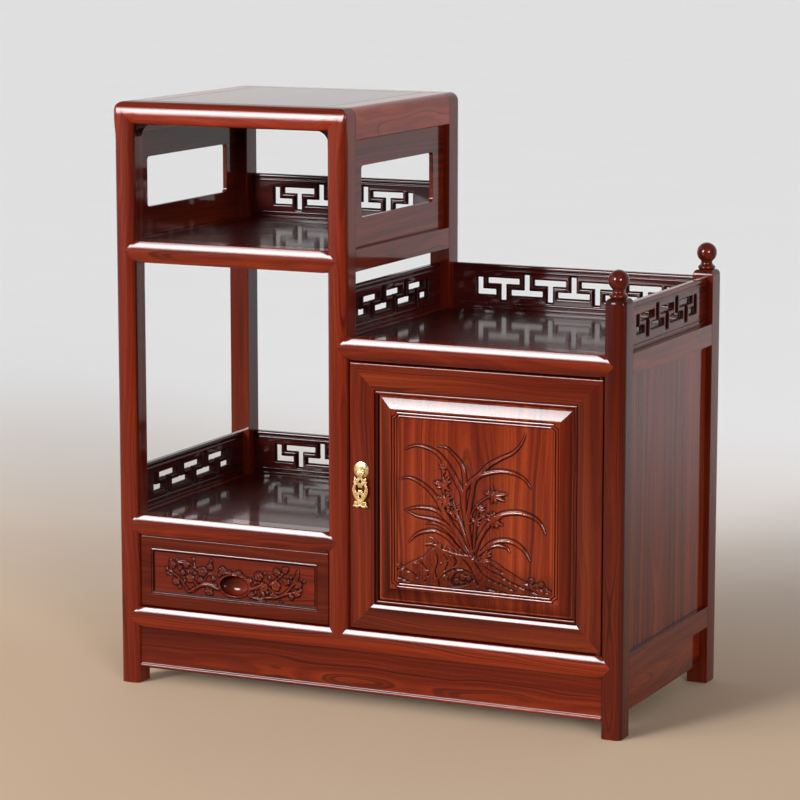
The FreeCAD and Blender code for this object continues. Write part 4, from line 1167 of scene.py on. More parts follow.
# outer groove, bead, groove, bead, step down to the ground
steps = [(0.0, 0.0), (0.15, 0.30), (0.30, 0.90), (0.85, 1.0), (1.40, 0.90), (1.52, 0.45), (1.62, 0.30), (1.90, 0.21), (2.80, 0.0), (3.05, -0.03), (3.30, 0.0), (4.15, 0.21), (4.35, 0.38), (4.45, 0.90), (5.05, 1.35),
         (5.75, 1.30), (6.00, 0.90), (6.10, 0.48), (6.30, 0.34), (7.20, 0.09), (7.45, 0.06), (7.70, 0.09), (8.50, 0.32), (8.70, 0.50), (8.80, 1.20), (8.95, 1.90), (9.05, 2.20)]
border = notched(BX0, BX1, BZ0, BZ1, NOTCH, 0.0)
NB = len(border)
bm_rings = []
for off, dpt in steps:
    lp = notched(BX0, BX1, BZ0, BZ1, NOTCH, off)
    bm_rings.append([(u, YF + dpt, w) for u, w in lp])
bm = bmesh.new()
vr = [[bm.verts.new(p) for p in ring] for ring in bm_rings]
for k in range(len(vr) - 1):
    for i in range(NB):
        j = (i + 1) % NB
        bm.faces.new((vr[k][i], vr[k][j], vr[k + 1][j], vr[k + 1][i]))


def rect_ring(d, y, y_is_depth=True):
    yy = DY + y
    return [(px0 + d, yy, pz0 + d), (px1 - d, yy, pz0 + d), (px1 - d, yy, pz1 - d), (px0 + d, yy, pz1 - d)]


bev = [(0.0, 19.0), (0.0, 6.6), (0.5, 6.05), (3.0, 6.0), (3.4, 5.75), (3.6, 5.5), (18.9, 1.62), (19.3, 1.42), (19.5, 1.08), (19.9, 1.0)]
rr4 = [[bm.verts.new(p) for p in rect_ring(d, y)] for d, y in bev]
for k in range(len(rr4) - 1):
    for i in range(4):
        j = (i + 1) % 4
        bm.faces.new((rr4[k][i], rr4[k][j], rr4[k + 1][j], rr4[k + 1][i]))
bm.faces.new(rr4[0])
# flat border between the bevel and the bead line
inner = rr4[-1]
edges = []
for i in range(4):
    e = bm.edges.get((inner[i], inner[(i + 1) % 4])) or bm.edges.new((inner[i], inner[(i + 1) % 4]))
    edges.append(e)
for i in range(NB):
    e = bm.edges.get((vr[0][i], vr[0][(i + 1) % NB])) or bm.edges.new((vr[0][i], vr[0][(i + 1) % NB]))
    edges.append(e)
bmesh.ops.triangle_fill(bm, use_beauty=True, use_dissolve=False, edges=edges, normal=Vector((0, -1, 0)))
me = bpy.data.meshes.new("tmp")
bm.to_mesh(me)
bm.free()


def panel_painted_shade(co):
    """Painted shade in the two grooves of the bead border, behind the lip and at the step of the bevel."""
    c = np.zeros(len(co))
    x, y, z = co[:, 0], co[:, 1], co[:, 2]
    ins = np.minimum(np.minimum(x - px0, px1 - x), np.minimum(z - pz0, pz1 - z))
    c = np.where((ins > 20.5) & (y > YF + 0.55), np.clip((y - YF - 0.36) * 2.4, 0, 0.97), c)
    # painted shade on the bevel where it looks down and to the right
    low = (ins > 3.3) & (ins < 19.7)
    c = np.where(low & (z - pz0 < ins + 0.4), 0.82, c)
    c = np.where(low & (px1 - x < ins + 0.4), 0.20, c)
    c = np.where((ins < 3.7) & (ins > 3.3), 0.55, c)
    c = np.where(ins < 0.3, 0.8, c)
    return c


piece_mesh("door_panel_raised", me, "door", "door_panel", ROSE_P, grain="z", smooth=24, pith=(0.012, 0.034), weld=0, painted_shade=panel_painted_shade, mitre=True)

# the carved picture: an orchid on a rock, in low relief
G = Relief(BX0 + 8.5, BX1 - 8.5, BZ0 + 8.5, BZ1 - 8.5, 0.8)


def door_carving(g):
    # rock and bank
    rock = [(463, 214), (478, 224), (491, 232), (508, 238), (518, 249), (531, 259), (541, 257), (560, 252), (580, 251), (591, 249), (607, 243), (624, 245), (636, 238), (648, 232), (666, 222), (685, 216),
            (706, 210), (730, 203), (731, 190), (594, 188), (460, 188)]
    sl, ins, d, new = g.blob(rock, 1.35, 3.6)
    g.rock = np.zeros_like(g.h)
    g.rock[sl] = np.where(ins, 1.0, 0.0)
    U, V = g.U[sl], g.V[sl]
    rough = 0.30 * vnoise(U, V, 0.16, 2) + 0.16 * vnoise(U, V, 0.42, 5)
    g.h[sl] = np.where(ins, np.maximum(g.h[sl], new * (1 + rough)), g.h[sl])
    g.h[sl] = np.where(ins & (d < 1.6), g.h[sl] + 0.35 * np.exp(-((d - 0.9) / 0.6) ** 2), g.h[sl])
    # folds of the rock
    for c in ([(507, 236), (517, 226), (520, 214), (512, 202)], [(531, 256), (536, 240), (532, 222), (538, 205), (533, 192)], [(545, 252), (552, 238), (548, 224), (556, 208)],
              [(560, 250), (566, 240), (561, 231), (568, 222)], [(591, 246), (600, 236), (608, 226), (622, 218), (640, 212), (660, 205)], [(604, 240), (618, 232), (636, 226), (652, 218), (672, 211), (700, 203)],
              [(575, 246), (584, 238), (590, 230), (598, 214), (606, 200)], [(482, 222), (494, 218), (505, 210)], [(540, 214), (556, 226), (574, 230), (590, 224), (598, 212)],
              [(612, 206), (630, 202), (650, 200)], [(618, 241), (630, 236), (642, 229)], [(470, 210), (486, 205), (500, 200)]):
        g.groove(c, 2.8, 1.15)
    for c in ([(536, 212), (548, 224), (566, 232), (586, 229), (597, 218)], [(498, 232), (510, 222), (513, 210)], [(556, 248), (562, 238), (558, 228)], [(600, 243), (612, 234), (630, 225), (650, 214)]):
        g.ribbon(c, 3.0, 1.6, 1.95, 1.5)
    # hollow in the rock with small flowers
    sl2, ins2, d2, n2 = g.blob([(556, 212), (566, 224), (582, 228), (596, 222), (590, 211), (574, 204), (560, 203)], 1.0, 2.5)
    g.h[sl2] = np.where(ins2, g.h[sl2] * 0.08, g.h[sl2])
    for (u, v, r) in ((566, 211, 4.6), (576, 218, 5.2), (586, 217, 4.2), (574, 209, 3.6), (510, 219, 5.0), (517, 212, 4.4), (508, 208, 4.0), (518, 221, 3.4),
                      (603, 204, 4.8), (610, 200, 3.2), (597, 200, 3.4), (685, 222, 4.8), (693, 215, 4.2), (701, 218, 4.6), (707, 211, 4.0), (714, 207, 3.8), (696, 208, 3.2), (719, 202, 3.4), (679, 214, 3.0)):
        g.blossom(u, v, r, 1.45, rot=(u * 7 + v * 3) % 72, base=0.40)
    for k in range(46):
        a = (math.sin(k * 12.9898) * 43758.5453) % 1.0
        b = (math.sin(k * 78.233) * 12543.77) % 1.0
        u = 470 + 250 * a
        top = np.interp(u, [463, 491, 518, 531, 591, 636, 666, 706, 730], [212, 230, 246, 254, 245, 234, 219, 208, 202])
        v = 193 + (top - 198) * b
        g.dot(u, v, 1.0 + 0.9 * ((a * 7) % 1), 0.65, base=1.0)
    # creeping stems at the foot of the plant
    g.ribbon([(515, 262), (527, 263), (539, 257), (552, 254), (566, 251), (588, 250)], 3.2, 4.6, 1.3, 1.7, knots=0.18, seed=3)
    g.ribbon([(536, 263), (530, 270), (523, 273)], 2.0, 1.2, 1.2, 0.8)
    for (u, v, a, l) in ((538, 259, 150, 9), (540, 259, 100, 8), (545, 257, 60, 7), (567, 253, 120, 8), (570, 253, 70, 8), (560, 254, 150, 7)):
        g.petal(u, v, a, l, 4.0, 1.4)
    for (u, v, a, l) in ((606, 250, 15, 17), (606, 249, 35, 18), (606, 248, 55, 16), (606, 247, -5, 17), (606, 246, -25, 14), (600, 250, 75, 11), (604, 245, -45, 11)):
        g.petal(u, v, a, l, 4.8, 1.7)
    for c in ([(610, 243), (626, 244), (640, 236), (654, 229), (672, 220), (690, 214)],):
        g.ribbon(c, 3.0, 1.6, 1.7, 1.1, knots=0.10, seed=1)
    for (u, v, a, l, w) in ((480, 222, 158, 16, 7), (488, 227, 30, 18, 6), (470, 214, 160, 10, 6), (500, 232, 40, 14, 5)):
        g.petal(u, v, a, l, w, 1.3)
    # long leaves, the ones behind first
    leaves = [
        ([(484, 310), (503, 303.5), (527, 301), (544, 297), (558, 287.5), (572, 271.5), (587, 252)], 5.0, 1.91),
        ([(516, 292.5), (529, 295), (546, 290), (560, 279), (572, 266), (584, 253)], 4.6, 1.91),
        ([(482.6, 310.5), (498, 315.5), (517, 317), (534, 314), (548.5, 304), (562.7, 290), (577, 270), (589, 251)], 5.6, 2.11),
        ([(489, 263), (500.6, 275), (517.4, 282), (534, 283), (551, 276), (565, 263), (580, 252)], 5.2, 1.98),
        ([(474, 356.5), (488.6, 360), (505.4, 355), (522, 344.3), (534, 331), (541.5, 318.7), (553, 302.4), (570, 277.8), (588, 252)], 6.0, 2.11),
        ([(535, 409.5), (548.5, 409.7), (560.4, 401), (572, 388.7), (578, 372), (579.3, 354.5), (578, 337), (580, 310), (587, 262)], 5.6, 1.98),
        ([(482.6, 402), (498, 408.5), (517.4, 407.2), (536.5, 399), (553, 380.6), (565, 362), (574.6, 343.3), (578, 320), (583, 285), (591, 251)], 6.6, 2.24),
        ([(674.5, 439), (668.7, 424.4), (654.7, 409.3), (636, 400), (617, 388), (603, 374), (591, 364), (579.5, 350), (576, 332), (580, 306), (590, 256)], 6.2, 2.11),
        ([(684, 359), (673.4, 372), (657, 379.3), (636, 381), (615, 377), (600.6, 370.4), (593, 360), (590, 342), (586, 320), (584, 298), (592, 252)], 6.6, 2.31),
        ([(707, 293), (699, 308.7), (685, 318), (664, 322), (643, 319), (631, 313.5), (622, 305), (610, 290), (600.6, 270), (596, 251)], 6.8, 2.24),
        ([(651, 261.4), (645, 268.4), (629, 270), (615, 264.5), (601, 252)], 4.8, 1.98),
        ([(682.7, 251.4), (673.4, 266.6), (657, 277), (638, 278.5), (622, 272.7), (608, 260.6), (597, 249.5)], 6.2, 2.31),
        ([(560, 330), (566, 312), (575, 290), (584, 268), (591, 251)], 5.0, 2.11),
        ([(604, 330), (598, 308), (595, 285), (593, 252)], 4.4, 1.98),
    ]
    for ctrl, w, h in leaves:
        g.blade(ctrl, w, h * 1.06)
    # flower stems
    for c, w0, w1 in (([(590, 253), (580.5, 279), (570, 299.5), (557, 310), (549, 324), (546, 339), (544, 352), (543.7, 367), (541, 381)], 3.2, 1.6),
                      ([(591, 255), (586, 281), (585, 297), (589, 312), (598, 327), (611, 338), (622, 343.5)], 3.2, 1.8),
                      ([(586, 297.7), (593.5, 303), (608, 310)], 2.4, 1.4), ([(594.7, 258), (602.5, 281), (615, 299), (624, 307)], 3.0, 2.0),
                      ([(556, 311), (561, 322), (568, 327)], 2.0, 1.2)):
        g.ribbon(c, w0, w1, 1.7, 1.5)
    # orchid flowers: narrow pointed petals
    fl = [((544, 378), ((95, 12, 4.2), (60, 10, 3.6), (125, 9, 3.4), (20, 8, 3.0), (160, 7, 3.0), (-80, 9, 3.4))),
          ((545.5, 352), ((165, 18, 5.2), (150, 15, 4.6), (195, 13, 4.6), (60, 17, 4.8), (35, 13, 4.4), (95, 12, 4.2), (-35, 12, 4.4), (-100, 11, 4.2))),
          ((547.5, 328), ((150, 15, 5.0), (120, 13, 4.8), (180, 12, 4.4), (35, 15, 4.6), (65, 13, 4.4), (0, 11, 4.2), (-60, 12, 4.6), (-110, 12, 4.6), (-20, 13, 4.2))),
          ((558, 311), ((35, 15, 4.4), (15, 12, 4.0), (150, 10, 4.0), (-60, 10, 4.0))),
          ((623, 344), ((95, 15, 4.6), (10, 24, 5.6), (-18, 22, 5.6), (-62, 13, 4.8), (-98, 13, 4.6), (165, 15, 4.4), (40, 12, 4.4), (140, 10, 4.0))),
          ((600, 323), ((20, 15, 4.4), (-10, 12, 4.2), (115, 9, 3.6), (-45, 9, 4.0))),
          ((593, 303), ((25, 13, 4.2), (-5, 12, 4.2), (-40, 11, 4.2), (120, 9, 3.8))),
          ((624, 308), ((110, 13, 4.8), (145, 14, 4.8), (80, 12, 4.6), (20, 15, 5.0), (-25, 17, 4.8), (-60, 15, 4.6), (-95, 13, 4.6), (180, 12, 4.4)))]
    for (u, v), ps in fl:
        for a, l, w in ps:
            g.petal(u, v, a, l, w, 2.25, vein=0.42)
        g.dot(u, v, 1.7, 0.8, base=1.2)
    g.smooth(1, 0.35)
    # the ground keeps faint marks of the carver's gouge
    g.h = g.h + 0.035 * vnoise(g.U, g.V, 0.30, 7) * (g.h < 0.05)


door_carving(G)
lim = YG - (DY + 0.15)
edge_fade = np.minimum(np.minimum(G.U - G.u[0], G.u[-1] - G.U), np.minimum(G.V - G.v[0], G.v[-1] - G.V))
G.h = np.where(edge_fade < 1.8, np.minimum(G.h, 0.3 + 0.7 * edge_fade), G.h)
co, fc = G.mesh(YG, None, limit=lim)
nu, nv = G.nu, G.nv
ring_i = list(range(nu)) + [nu - 1 + nu * k for k in range(1, nv)] + [nu * (nv - 1) + k for k in range(nu - 2, -1, -1)] + [nu * k for k in range(nv - 2, 0, -1)]
base_n = len(co)
back = co[ring_i].copy()
back[:, 1] = YG + 3.0
allco = np.vstack((co, back))
nr = len(ring_i)
quads = [tuple(q) for q in fc]
quads += [(ring_i[i], base_n + i, base_n + (i + 1) % nr, ring_i[(i + 1) % nr]) for i in range(nr)]
quads.append(tuple(base_n + i for i in range(nr)))
# painted shade: the hollows of the relief, darker towards the foot and over the rock, and a dark line round the edge of
# the field
foot = 0.55 * np.clip((240.0 - G.V) / 28.0, 0, 1) * np.clip(1.25 - np.abs(G.U - 600.0) / 200.0, 0.3, 1.0)
edge = np.minimum(np.minimum(G.U - G.U.min(), G.U.max() - G.U), np.minimum(G.V - G.V.min(), G.V.max() - G.V))
cav = np.clip(G.painted_shade(1.8, 3.0, 0.97) + np.maximum(foot, 0.30 * G.rock) + 0.9 * np.clip(1 - edge / 2.4, 0, 1), 0, 0.97)
cav = np.concatenate((cav.ravel(), np.zeros(nr)))
piece("door_panel_carving", allco, quads, "door", "door_panel", ROSE_P, grain="z", smooth=60, pith=(0.012, 0.034), flat=False, painted_shade=cav)

# ------------------------------------------------------------------ drawer
FX0, FX1, FZ0, FZ1, FY = 34.0, 357.0, 123.0, 234.0, 7.5
GX0, GX1, GZ0, GZ1 = 51.6, 338.2, 142.6, 215.8      # outer line of the incised border
HX, HZ, HA, HB = 196.3, 168.0, 25.0, 15.6
DR = Relief(GX0 + 5.4, GX1 - 5.4, GZ0 + 5.4, GZ1 - 5.4, 0.62)


def drawer_carving(g):
    # plum branches running out from both sides of the hollow
    for c, w0, w1, h in (([(168, 161), (153, 165.5), (141, 164.5), (129, 158.5), (117, 152.5), (110, 160.5), (102, 171), (93, 177.5), (79, 184)], 5.4, 2.6, 2.0),
                         ([(164, 166), (145, 168), (136, 164)], 3.6, 2.6, 1.8),
                         ([(133, 162), (126, 169), (119, 176), (116, 186)], 3.2, 1.6, 1.6),
                         ([(97, 199), (109, 199.6), (119, 196), (127, 190), (134, 187)], 1.8, 3.0, 1.6),
                         ([(93, 177.5), (86, 176), (80, 177)], 2.0, 1.0, 1.3), ([(88, 181), (84, 190), (86, 198)], 2.0, 1.2, 1.3),
                         ([(145, 165.7), (151, 159), (156, 153)], 2.6, 1.4, 1.5), ([(131, 187), (127, 195), (125.6, 203)], 2.2, 1.2, 1.5),
                         ([(146, 188), (153, 196), (156, 203)], 2.4, 1.2, 1.5), ([(141, 166), (146, 176), (152, 182), (160, 180)], 2.4, 1.3, 1.5),
                         ([(224, 166), (232, 168.5), (240, 171), (243, 163), (249, 155.5), (260, 156.5), (273, 159), (284, 166), (293, 176), (300, 187.5), (304, 199)], 5.2, 2.2, 2.0),
                         ([(273, 159), (290, 165.5), (308, 171)], 3.6, 1.6, 1.6), ([(257, 176), (269, 185.5), (278, 192.5), (286, 202)], 3.0, 1.4, 1.6),
                         ([(222, 154), (236, 151.8), (246, 148.6)], 3.2, 1.6, 1.5), ([(222, 178), (212.6, 184.6), (203, 188.4), (189, 187.2), (178, 188)], 2.4, 3.2, 1.6),
                         ([(268, 196), (276, 188), (284, 184)], 2.0, 1.2, 1.3), ([(252, 172), (262, 166), (270, 164)], 2.0, 1.2, 1.3)):
        g.ribbon(c, w0, w1, h, h * 0.8, knots=0.16, seed=c[0][0])
    for (u, v, r, rot) in ((89, 192, 6.2, 10), (95, 166, 6.4, 40), (113, 193.5, 5.6, 5), (119.5, 173, 7.0, 20), (141, 185.5, 8.2, 0), (154.5, 194, 5.2, 30), (176, 190, 6.8, 15), (152, 155.5, 6.4, 50),
                           (137, 172, 4.6, 12), (107, 181, 4.4, 60), (102, 188, 3.8, 22), (160, 176, 3.8, 44), (238, 187, 7.4, 8), (245.5, 171, 8.0, 30), (267, 175, 8.4, 18), (269, 196.5, 6.2, 50), (283, 200.5, 5.0, 5),
                           (285, 183, 5.4, 33), (306, 180, 5.8, 12), (303, 166.5, 5.8, 40), (263, 158.8, 5.8, 25), (222, 178.5, 4.6, 9), (225, 157.5, 5.0, 60), (204, 188.6, 4.8, 30), (189, 187.4, 4.2, 55), (294, 160, 4.2, 10)):
        g.blossom(u, v, r, 1.7, rot=rot, base=0.45)
    for (u, v, r) in ((78.5, 184.3, 2.4), (80.5, 177, 2.0), (86, 198.4, 2.2), (97, 199.4, 2.3), (125.6, 203, 2.4), (156.6, 203, 2.2), (156.4, 152.6, 2.4), (127, 181, 2.2), (110, 168, 2.2), (101, 158, 2.4),
                      (286.6, 202.4, 2.3), (304.4, 199.4, 2.2), (309, 171.4, 2.5), (246.4, 148.8, 2.2), (277, 193, 2.1), (252, 163, 2.2), (256, 186, 2.4), (248, 192, 2.0), (170, 182, 2.2), (232, 176, 2.0), (212, 183, 2.0), (315, 186, 2.0),
                      (293, 190, 2.1), (276, 150.5, 2.2), (232, 161, 2.1), (160, 161.5, 2.0)):
        g.petal(u, v - r, 90, r * 2.3, r * 1.9, 1.5, base=0.3, vein=0.3)
    for (u, v, a, l, w) in ((296, 178, 62, 22, 6.4), (299, 174, 40, 14, 5), (250, 156, 200, 12, 4.6), (110, 197, 175, 14, 4.6), (240, 152, 170, 11, 4.2), (288, 166, 330, 10, 4.2), (128, 158, 230, 9, 4.4), (236, 149.5, 352, 12, 4.0)):
        g.petal(u, v, a, l, w, 1.5, vein=0.45)
    # rim round the finger hollow
    q = np.hypot((g.U - HX) / (HA + 1.3), (g.V - HZ) / (HB + 1.3))
    rim = np.exp(-((q - 1.0) / 0.060) ** 2) * 1.25
    g.h = np.maximum(g.h, rim)
    g.smooth(1, 0.30)
    g.h = g.h + 0.03 * vnoise(g.U, g.V, 0.35, 3) * (g.h < 0.05)


drawer_carving(DR)
FYG = FY + 1.9                                   # ground inside the border
# finger hollow: an ellipsoid scoop sunk 11 mm
qq = np.hypot((DR.U - HX) / HA, (DR.V - HZ) / HB)
scoop = -11.0 * np.clip(1 - qq ** 2.6, 0, 1) ** 0.55
DR.h = np.where(qq < 1.0, np.minimum(DR.h * np.clip((qq - 0.93) / 0.07, 0, 1), 9) + scoop, DR.h)
nu, nv = DR.nu, DR.nv
Yd = FYG - np.minimum(DR.h, FYG - FY - 0.05 + 0.0)
co = np.column_stack((DR.U.ravel(), Yd.ravel(), DR.V.ravel()))
idx = np.arange(nu * nv).reshape(nv, nu)
fc = np.column_stack((idx[:-1, :-1].ravel(), idx[:-1, 1:].ravel(), idx[1:, 1:].ravel(), idx[1:, :-1].ravel()))
ring_i = list(range(nu)) + [nu - 1 + nu * k for k in range(1, nv)] + [nu * (nv - 1) + k for k in range(nu - 2, -1, -1)] + [nu * k for k in range(nv - 2, 0, -1)]
base_n = len(co)
back = co[ring_i].copy()
back[:, 1] = FY + 17.0
nr = len(ring_i)
quads = [tuple(q) for q in fc]
quads += [(ring_i[i], base_n + i, base_n + (i + 1) % nr, ring_i[(i + 1) % nr]) for i in range(nr)]
quads.append(tuple(base_n + i for i in range(nr)))
# painted shade: in the finger hollow dark at the upper left, fading towards the lower right; elsewhere the hollows of
# the relief and a dark line round the field's edge
shade = np.clip(0.42 - 0.55 * (DR.U - HX) / HA + 0.30 * (DR.V - HZ) / HB, 0.05, 0.92)
edge = np.minimum(np.minimum(DR.U - DR.U.min(), DR.U.max() - DR.U), np.minimum(DR.V - DR.V.min(), DR.V.max() - DR.V))
cav = np.where(qq < 0.98, shade, np.clip(DR.painted_shade(1.6, 3.2, 0.97) + 0.9 * np.clip(1 - edge / 1.8, 0, 1), 0, 0.97))
cav = np.concatenate((cav.ravel(), np.zeros(nr)))
piece("drawer_front_carving", np.vstack((co, back)), quads, "drawer", "drawer_front", ROSE, grain="x", smooth=60, pith=(0.010, 0.030), flat=False, painted_shade=cav, tone=0.92)

# drawer front: rounded arris, flat frame, incised double line
dprof = [(0.0, 18.0), (0.0, 2.0)]
for k in range(1, 7):
    a = math.pi / 2 * k / 6
    dprof.append((2.0 - 2.0 * math.cos(a), 2.0 - 2.0 * math.sin(a)))
bx = [(0.0, 0.0), (0.25, 0.10), (0.45, 0.55), (0.70, 1.05), (1.05, 1.10), (1.25, 0.50), (1.35, 0.28), (1.60, 0.20), (2.50, -0.05), (2.70, -0.06), (2.90, 0.0), (3.45, 0.20), (3.65, 0.40), (3.80, 1.10), (4.10, 1.75),
      (4.60, 2.05), (5.10, 2.15), (5.50, 2.6), (5.7, 4.0)]
bm = bmesh.new()


def rring(x0, x1, z0, z1, d, y):
    return [bm.verts.new(p) for p in ((x0 + d, y, z0 + d), (x1 - d, y, z0 + d), (x1 - d, y, z1 - d), (x0 + d, y, z1 - d))]


rs = [rring(FX0, FX1, FZ0, FZ1, d, FY + y) for d, y in dprof]
rs += [rring(GX0, GX1, GZ0, GZ1, d, FY + y) for d, y in bx]
rs.append(rring(GX0, GX1, GZ0, GZ1, 5.7, FY + 18.0))
for k in range(len(rs) - 1):
    for i in range(4):
        j = (i + 1) % 4
        bm.faces.new((rs[k][i], rs[k][j], rs[k + 1][j], rs[k + 1][i]))
for i in range(4):
    j = (i + 1) % 4
    bm.faces.new((rs[-1][i], rs[-1][j], rs[0][j], rs[0][i]))
me = bpy.data.meshes.new("tmp")
bm.to_mesh(me)
bm.free()


# painted shade in the grooves of the incised border, growing with depth, and an even 0.42 over the rest of the front,
# which also thins its coat
def drawer_painted_shade(co):
    x, y, z = co[:, 0], co[:, 1], co[:, 2]
    ins = np.minimum(np.minimum(x - GX0, GX1 - x), np.minimum(z - GZ0, GZ1 - z))
    return np.where((ins > 0.2) & (y > FY + 0.45), np.clip((y - FY - 0.30) * 2.4, 0, 0.97), 0.42)


piece_mesh("drawer_front_frame", me, "drawer", "drawer_front", ROSE, grain="x", smooth=28, pith=(0.010, 0.030), weld=0, tone=0.77, painted_shade=drawer_painted_shade, mitre=True)

box_piece("drawer_side_left", (38.0, 48.0, 25.5, 345.0, 127.0, 222.0), "drawer", "drawer_sides", INNER, grain="y", b=1.2)
box_piece("drawer_side_right", (343.0, 353.0, 25.5, 345.0, 127.0, 222.0), "drawer", "drawer_sides", INNER, grain="y", b=1.2)
box_piece("drawer_back_board", (48.0, 343.0, 335.0, 345.0, 129.0, 216.0), "drawer", "drawer_back", INNER, grain="x", b=1.0)
box_piece("drawer_bottom_board", (48.0, 343.0, 25.5, 335.0, 129.0, 134.0), "drawer", "drawer_bottom", INNER, grain="x", b=0.4)
for nm, cad, b6 in (("drawer_runner_left", "drawer_runners", (33.0, 53.0, 34.0, 371.0, 122.0, 126.8)), ("drawer_runner_right", "drawer_runners", (338.0, 358.0, 34.0, 371.0, 122.0, 126.8)),
                    ("drawer_guide_left", "drawer_guides", (33.0, 37.4, 34.0, 371.0, 126.8, 142.0)), ("drawer_guide_right", "drawer_guides", (353.6, 358.0, 34.0, 371.0, 126.8, 142.0))):
    box_piece(nm, b6, "carcass", cad, INNER, grain="y", b=0.5)

# ------------------------------------------------------------------ brass pull
PX, PZ, AY, AZ = 412.0, 365.5, 2.9, 363.0
boss = []
for k in range(0, 3):
    boss.append(((12.2, 12.25, 12.1)[k], (7.5, 7.1, 6.75)[k]))
for k in range(0, 17):
    a = math.radians(78 * (1 - k / 16.0))
    boss.append((11.6 * math.sin(a) / math.sin(math.radians(78)), 6.65 - 1.45 * (math.cos(a) - math.cos(math.radians(78))) / (1 - math.cos(math.radians(78)))))
v, f = [], []
nn, m = 48, len(boss)
for i in range(nn):
    a = 2 * math.pi * i / nn
    for r, y in boss:
        v.append((PX + max(r, 0.0) * math.cos(a), y, PZ + max(r, 0.0) * math.sin(a)))
for i in range(nn):
    j = (i + 1) % nn
    for k in range(m - 1):
        f.append((i * m + k, j * m + k, j * m + k + 1, i * m + k + 1))
f.append(tuple(i * m for i in range(nn)))
bossm = mesh_of(v, f)


def cyl_x(x0, x1, y, z, r, n=20, b=0.25):
    prof = [(x0, r - b), (x0 + b, r), (x1 - b, r), (x1, r - b)]
    v = []
    for x, rr in prof:
        for i in range(n):
            a = 2 * math.pi * i / n
            v.append((x, y + rr * math.cos(a), z + rr * math.sin(a)))
    f = []
    for k in range(3):
        for i in range(n):
            j = (i + 1) % n
            f.append((k * n + i, k * n + j, (k + 1) * n + j, (k + 1) * n + i))
    f.append(tuple(range(n - 1, -1, -1)))
    f.append(tuple(3 * n + i for i in range(n)))
    return mesh_of(v, f)


cheeks = []
for sg in (-1, 1):
    a, b = sorted((PX + sg * 2.2, PX + sg * 3.6))
    cheeks.append(cyl_x(a, b, AY, AZ, 2.2))
    cheeks.append(bevel_box(a, b, AY, 6.6, AZ - 2.1, AZ + 2.1, b=0.2))
piece_mesh("pull_boss_brass", join_meshes([bossm] + cheeks), "door", "pull_boss", BRASS, grain="z", smooth=40)
piece_mesh("pull_pin_brass", cyl_x(PX - 3.9, PX + 3.9, AY, AZ, 0.9, 16, 0.15), "door", "pull_pin", BRASS, grain="x", smooth=40)


def smooth_loop(pts, n=4):
    P = [np.array(p, float) for p in pts]
    out = []
    m = len(P)
    for i in range(m):
        p0, p1, p2, p3 = P[i - 1], P[i], P[(i + 1) % m], P[(i + 2) % m]
        for k in range(n):
            t = k / n
            out.append(tuple(0.5 * ((2 * p1) + (-p0 + p2) * t + (2 * p0 - 5 * p1 + 4 * p2 - p3) * t ** 2 + (-p0 + 3 * p1 - 3 * p2 + p3) * t ** 3)))
    return out


halfp = [(0.0, 364.9), (2.4, 364.7), (4.3, 363.8), (5.4, 361.9), (5.5, 359.6), (4.6, 357.4), (3.6, 355.6), (4.4, 353.9), (6.2, 352.6), (7.6, 353.4), (8.4, 355.4), (9.6, 354.6), (10.2, 352.0), (10.0, 349.8), (11.6, 348.2),
         (10.4, 346.4), (9.9, 344.8), (11.4, 342.2), (12.4, 338.6), (12.6, 334.6), (12.0, 330.6), (10.4, 326.6), (8.2, 323.2), (6.0, 320.4), (5.6, 318.6), (7.2, 318.2), (8.8, 319.4), (9.6, 317.0), (10.4, 314.0), (12.4, 311.0),
         (10.0, 310.6), (7.0, 309.2), (4.2, 309.2), (2.0, 310.4), (0.0, 311.6)]
outer = smooth_loop([(PX + a, b) for a, b in halfp] + [(PX - a, b) for a, b in reversed(halfp[1:-1])], 3)


def ell(cx, cz, a, b, n=18, ph=0.0):
    return [(cx + a * math.cos(2 * math.pi * k / n + ph), cz + b * math.sin(2 * math.pi * k / n + ph)) for k in range(n)]


holeH = smooth_loop([(PX - 6.6, 343.2), (PX - 5.0, 343.6), (PX - 3.7, 342.0), (PX - 3.2, 339.4), (PX - 1.4, 339.6), (PX, 340.0), (PX + 1.4, 339.6), (PX + 3.2, 339.4), (PX + 3.7, 342.0), (PX + 5.0, 343.6), (PX + 6.6, 343.2),
                     (PX + 7.4, 339.0), (PX + 7.2, 335.6), (PX + 5.9, 332.0), (PX + 4.6, 331.8), (PX + 3.6, 333.6), (PX + 3.0, 335.6), (PX + 1.4, 335.4), (PX, 335.0), (PX - 1.4, 335.4), (PX - 3.0, 335.6), (PX - 3.6, 333.6),
                     (PX - 4.6, 331.8), (PX - 5.9, 332.0), (PX - 7.2, 335.6), (PX - 7.4, 339.0)], 2)
dia1 = smooth_loop([(PX - 2.1, 348.4), (PX, 351.4), (PX + 2.1, 348.4), (PX, 345.6)], 3)
dia2 = smooth_loop([(PX - 2.1, 326.4), (PX, 329.4), (PX + 2.1, 326.4), (PX, 323.4)], 3)
pl = plate(outer, [holeH, dia1, dia2], 2.0, 3.8, 0.55, 2, lambda u, v, t: (u, t, v))
kn = cyl_x(PX - 2.0, PX + 2.0, AY, AZ, 1.85, 24, 0.3)
# raised rib lines on the pendant: the crossing scrolls
ribs = []


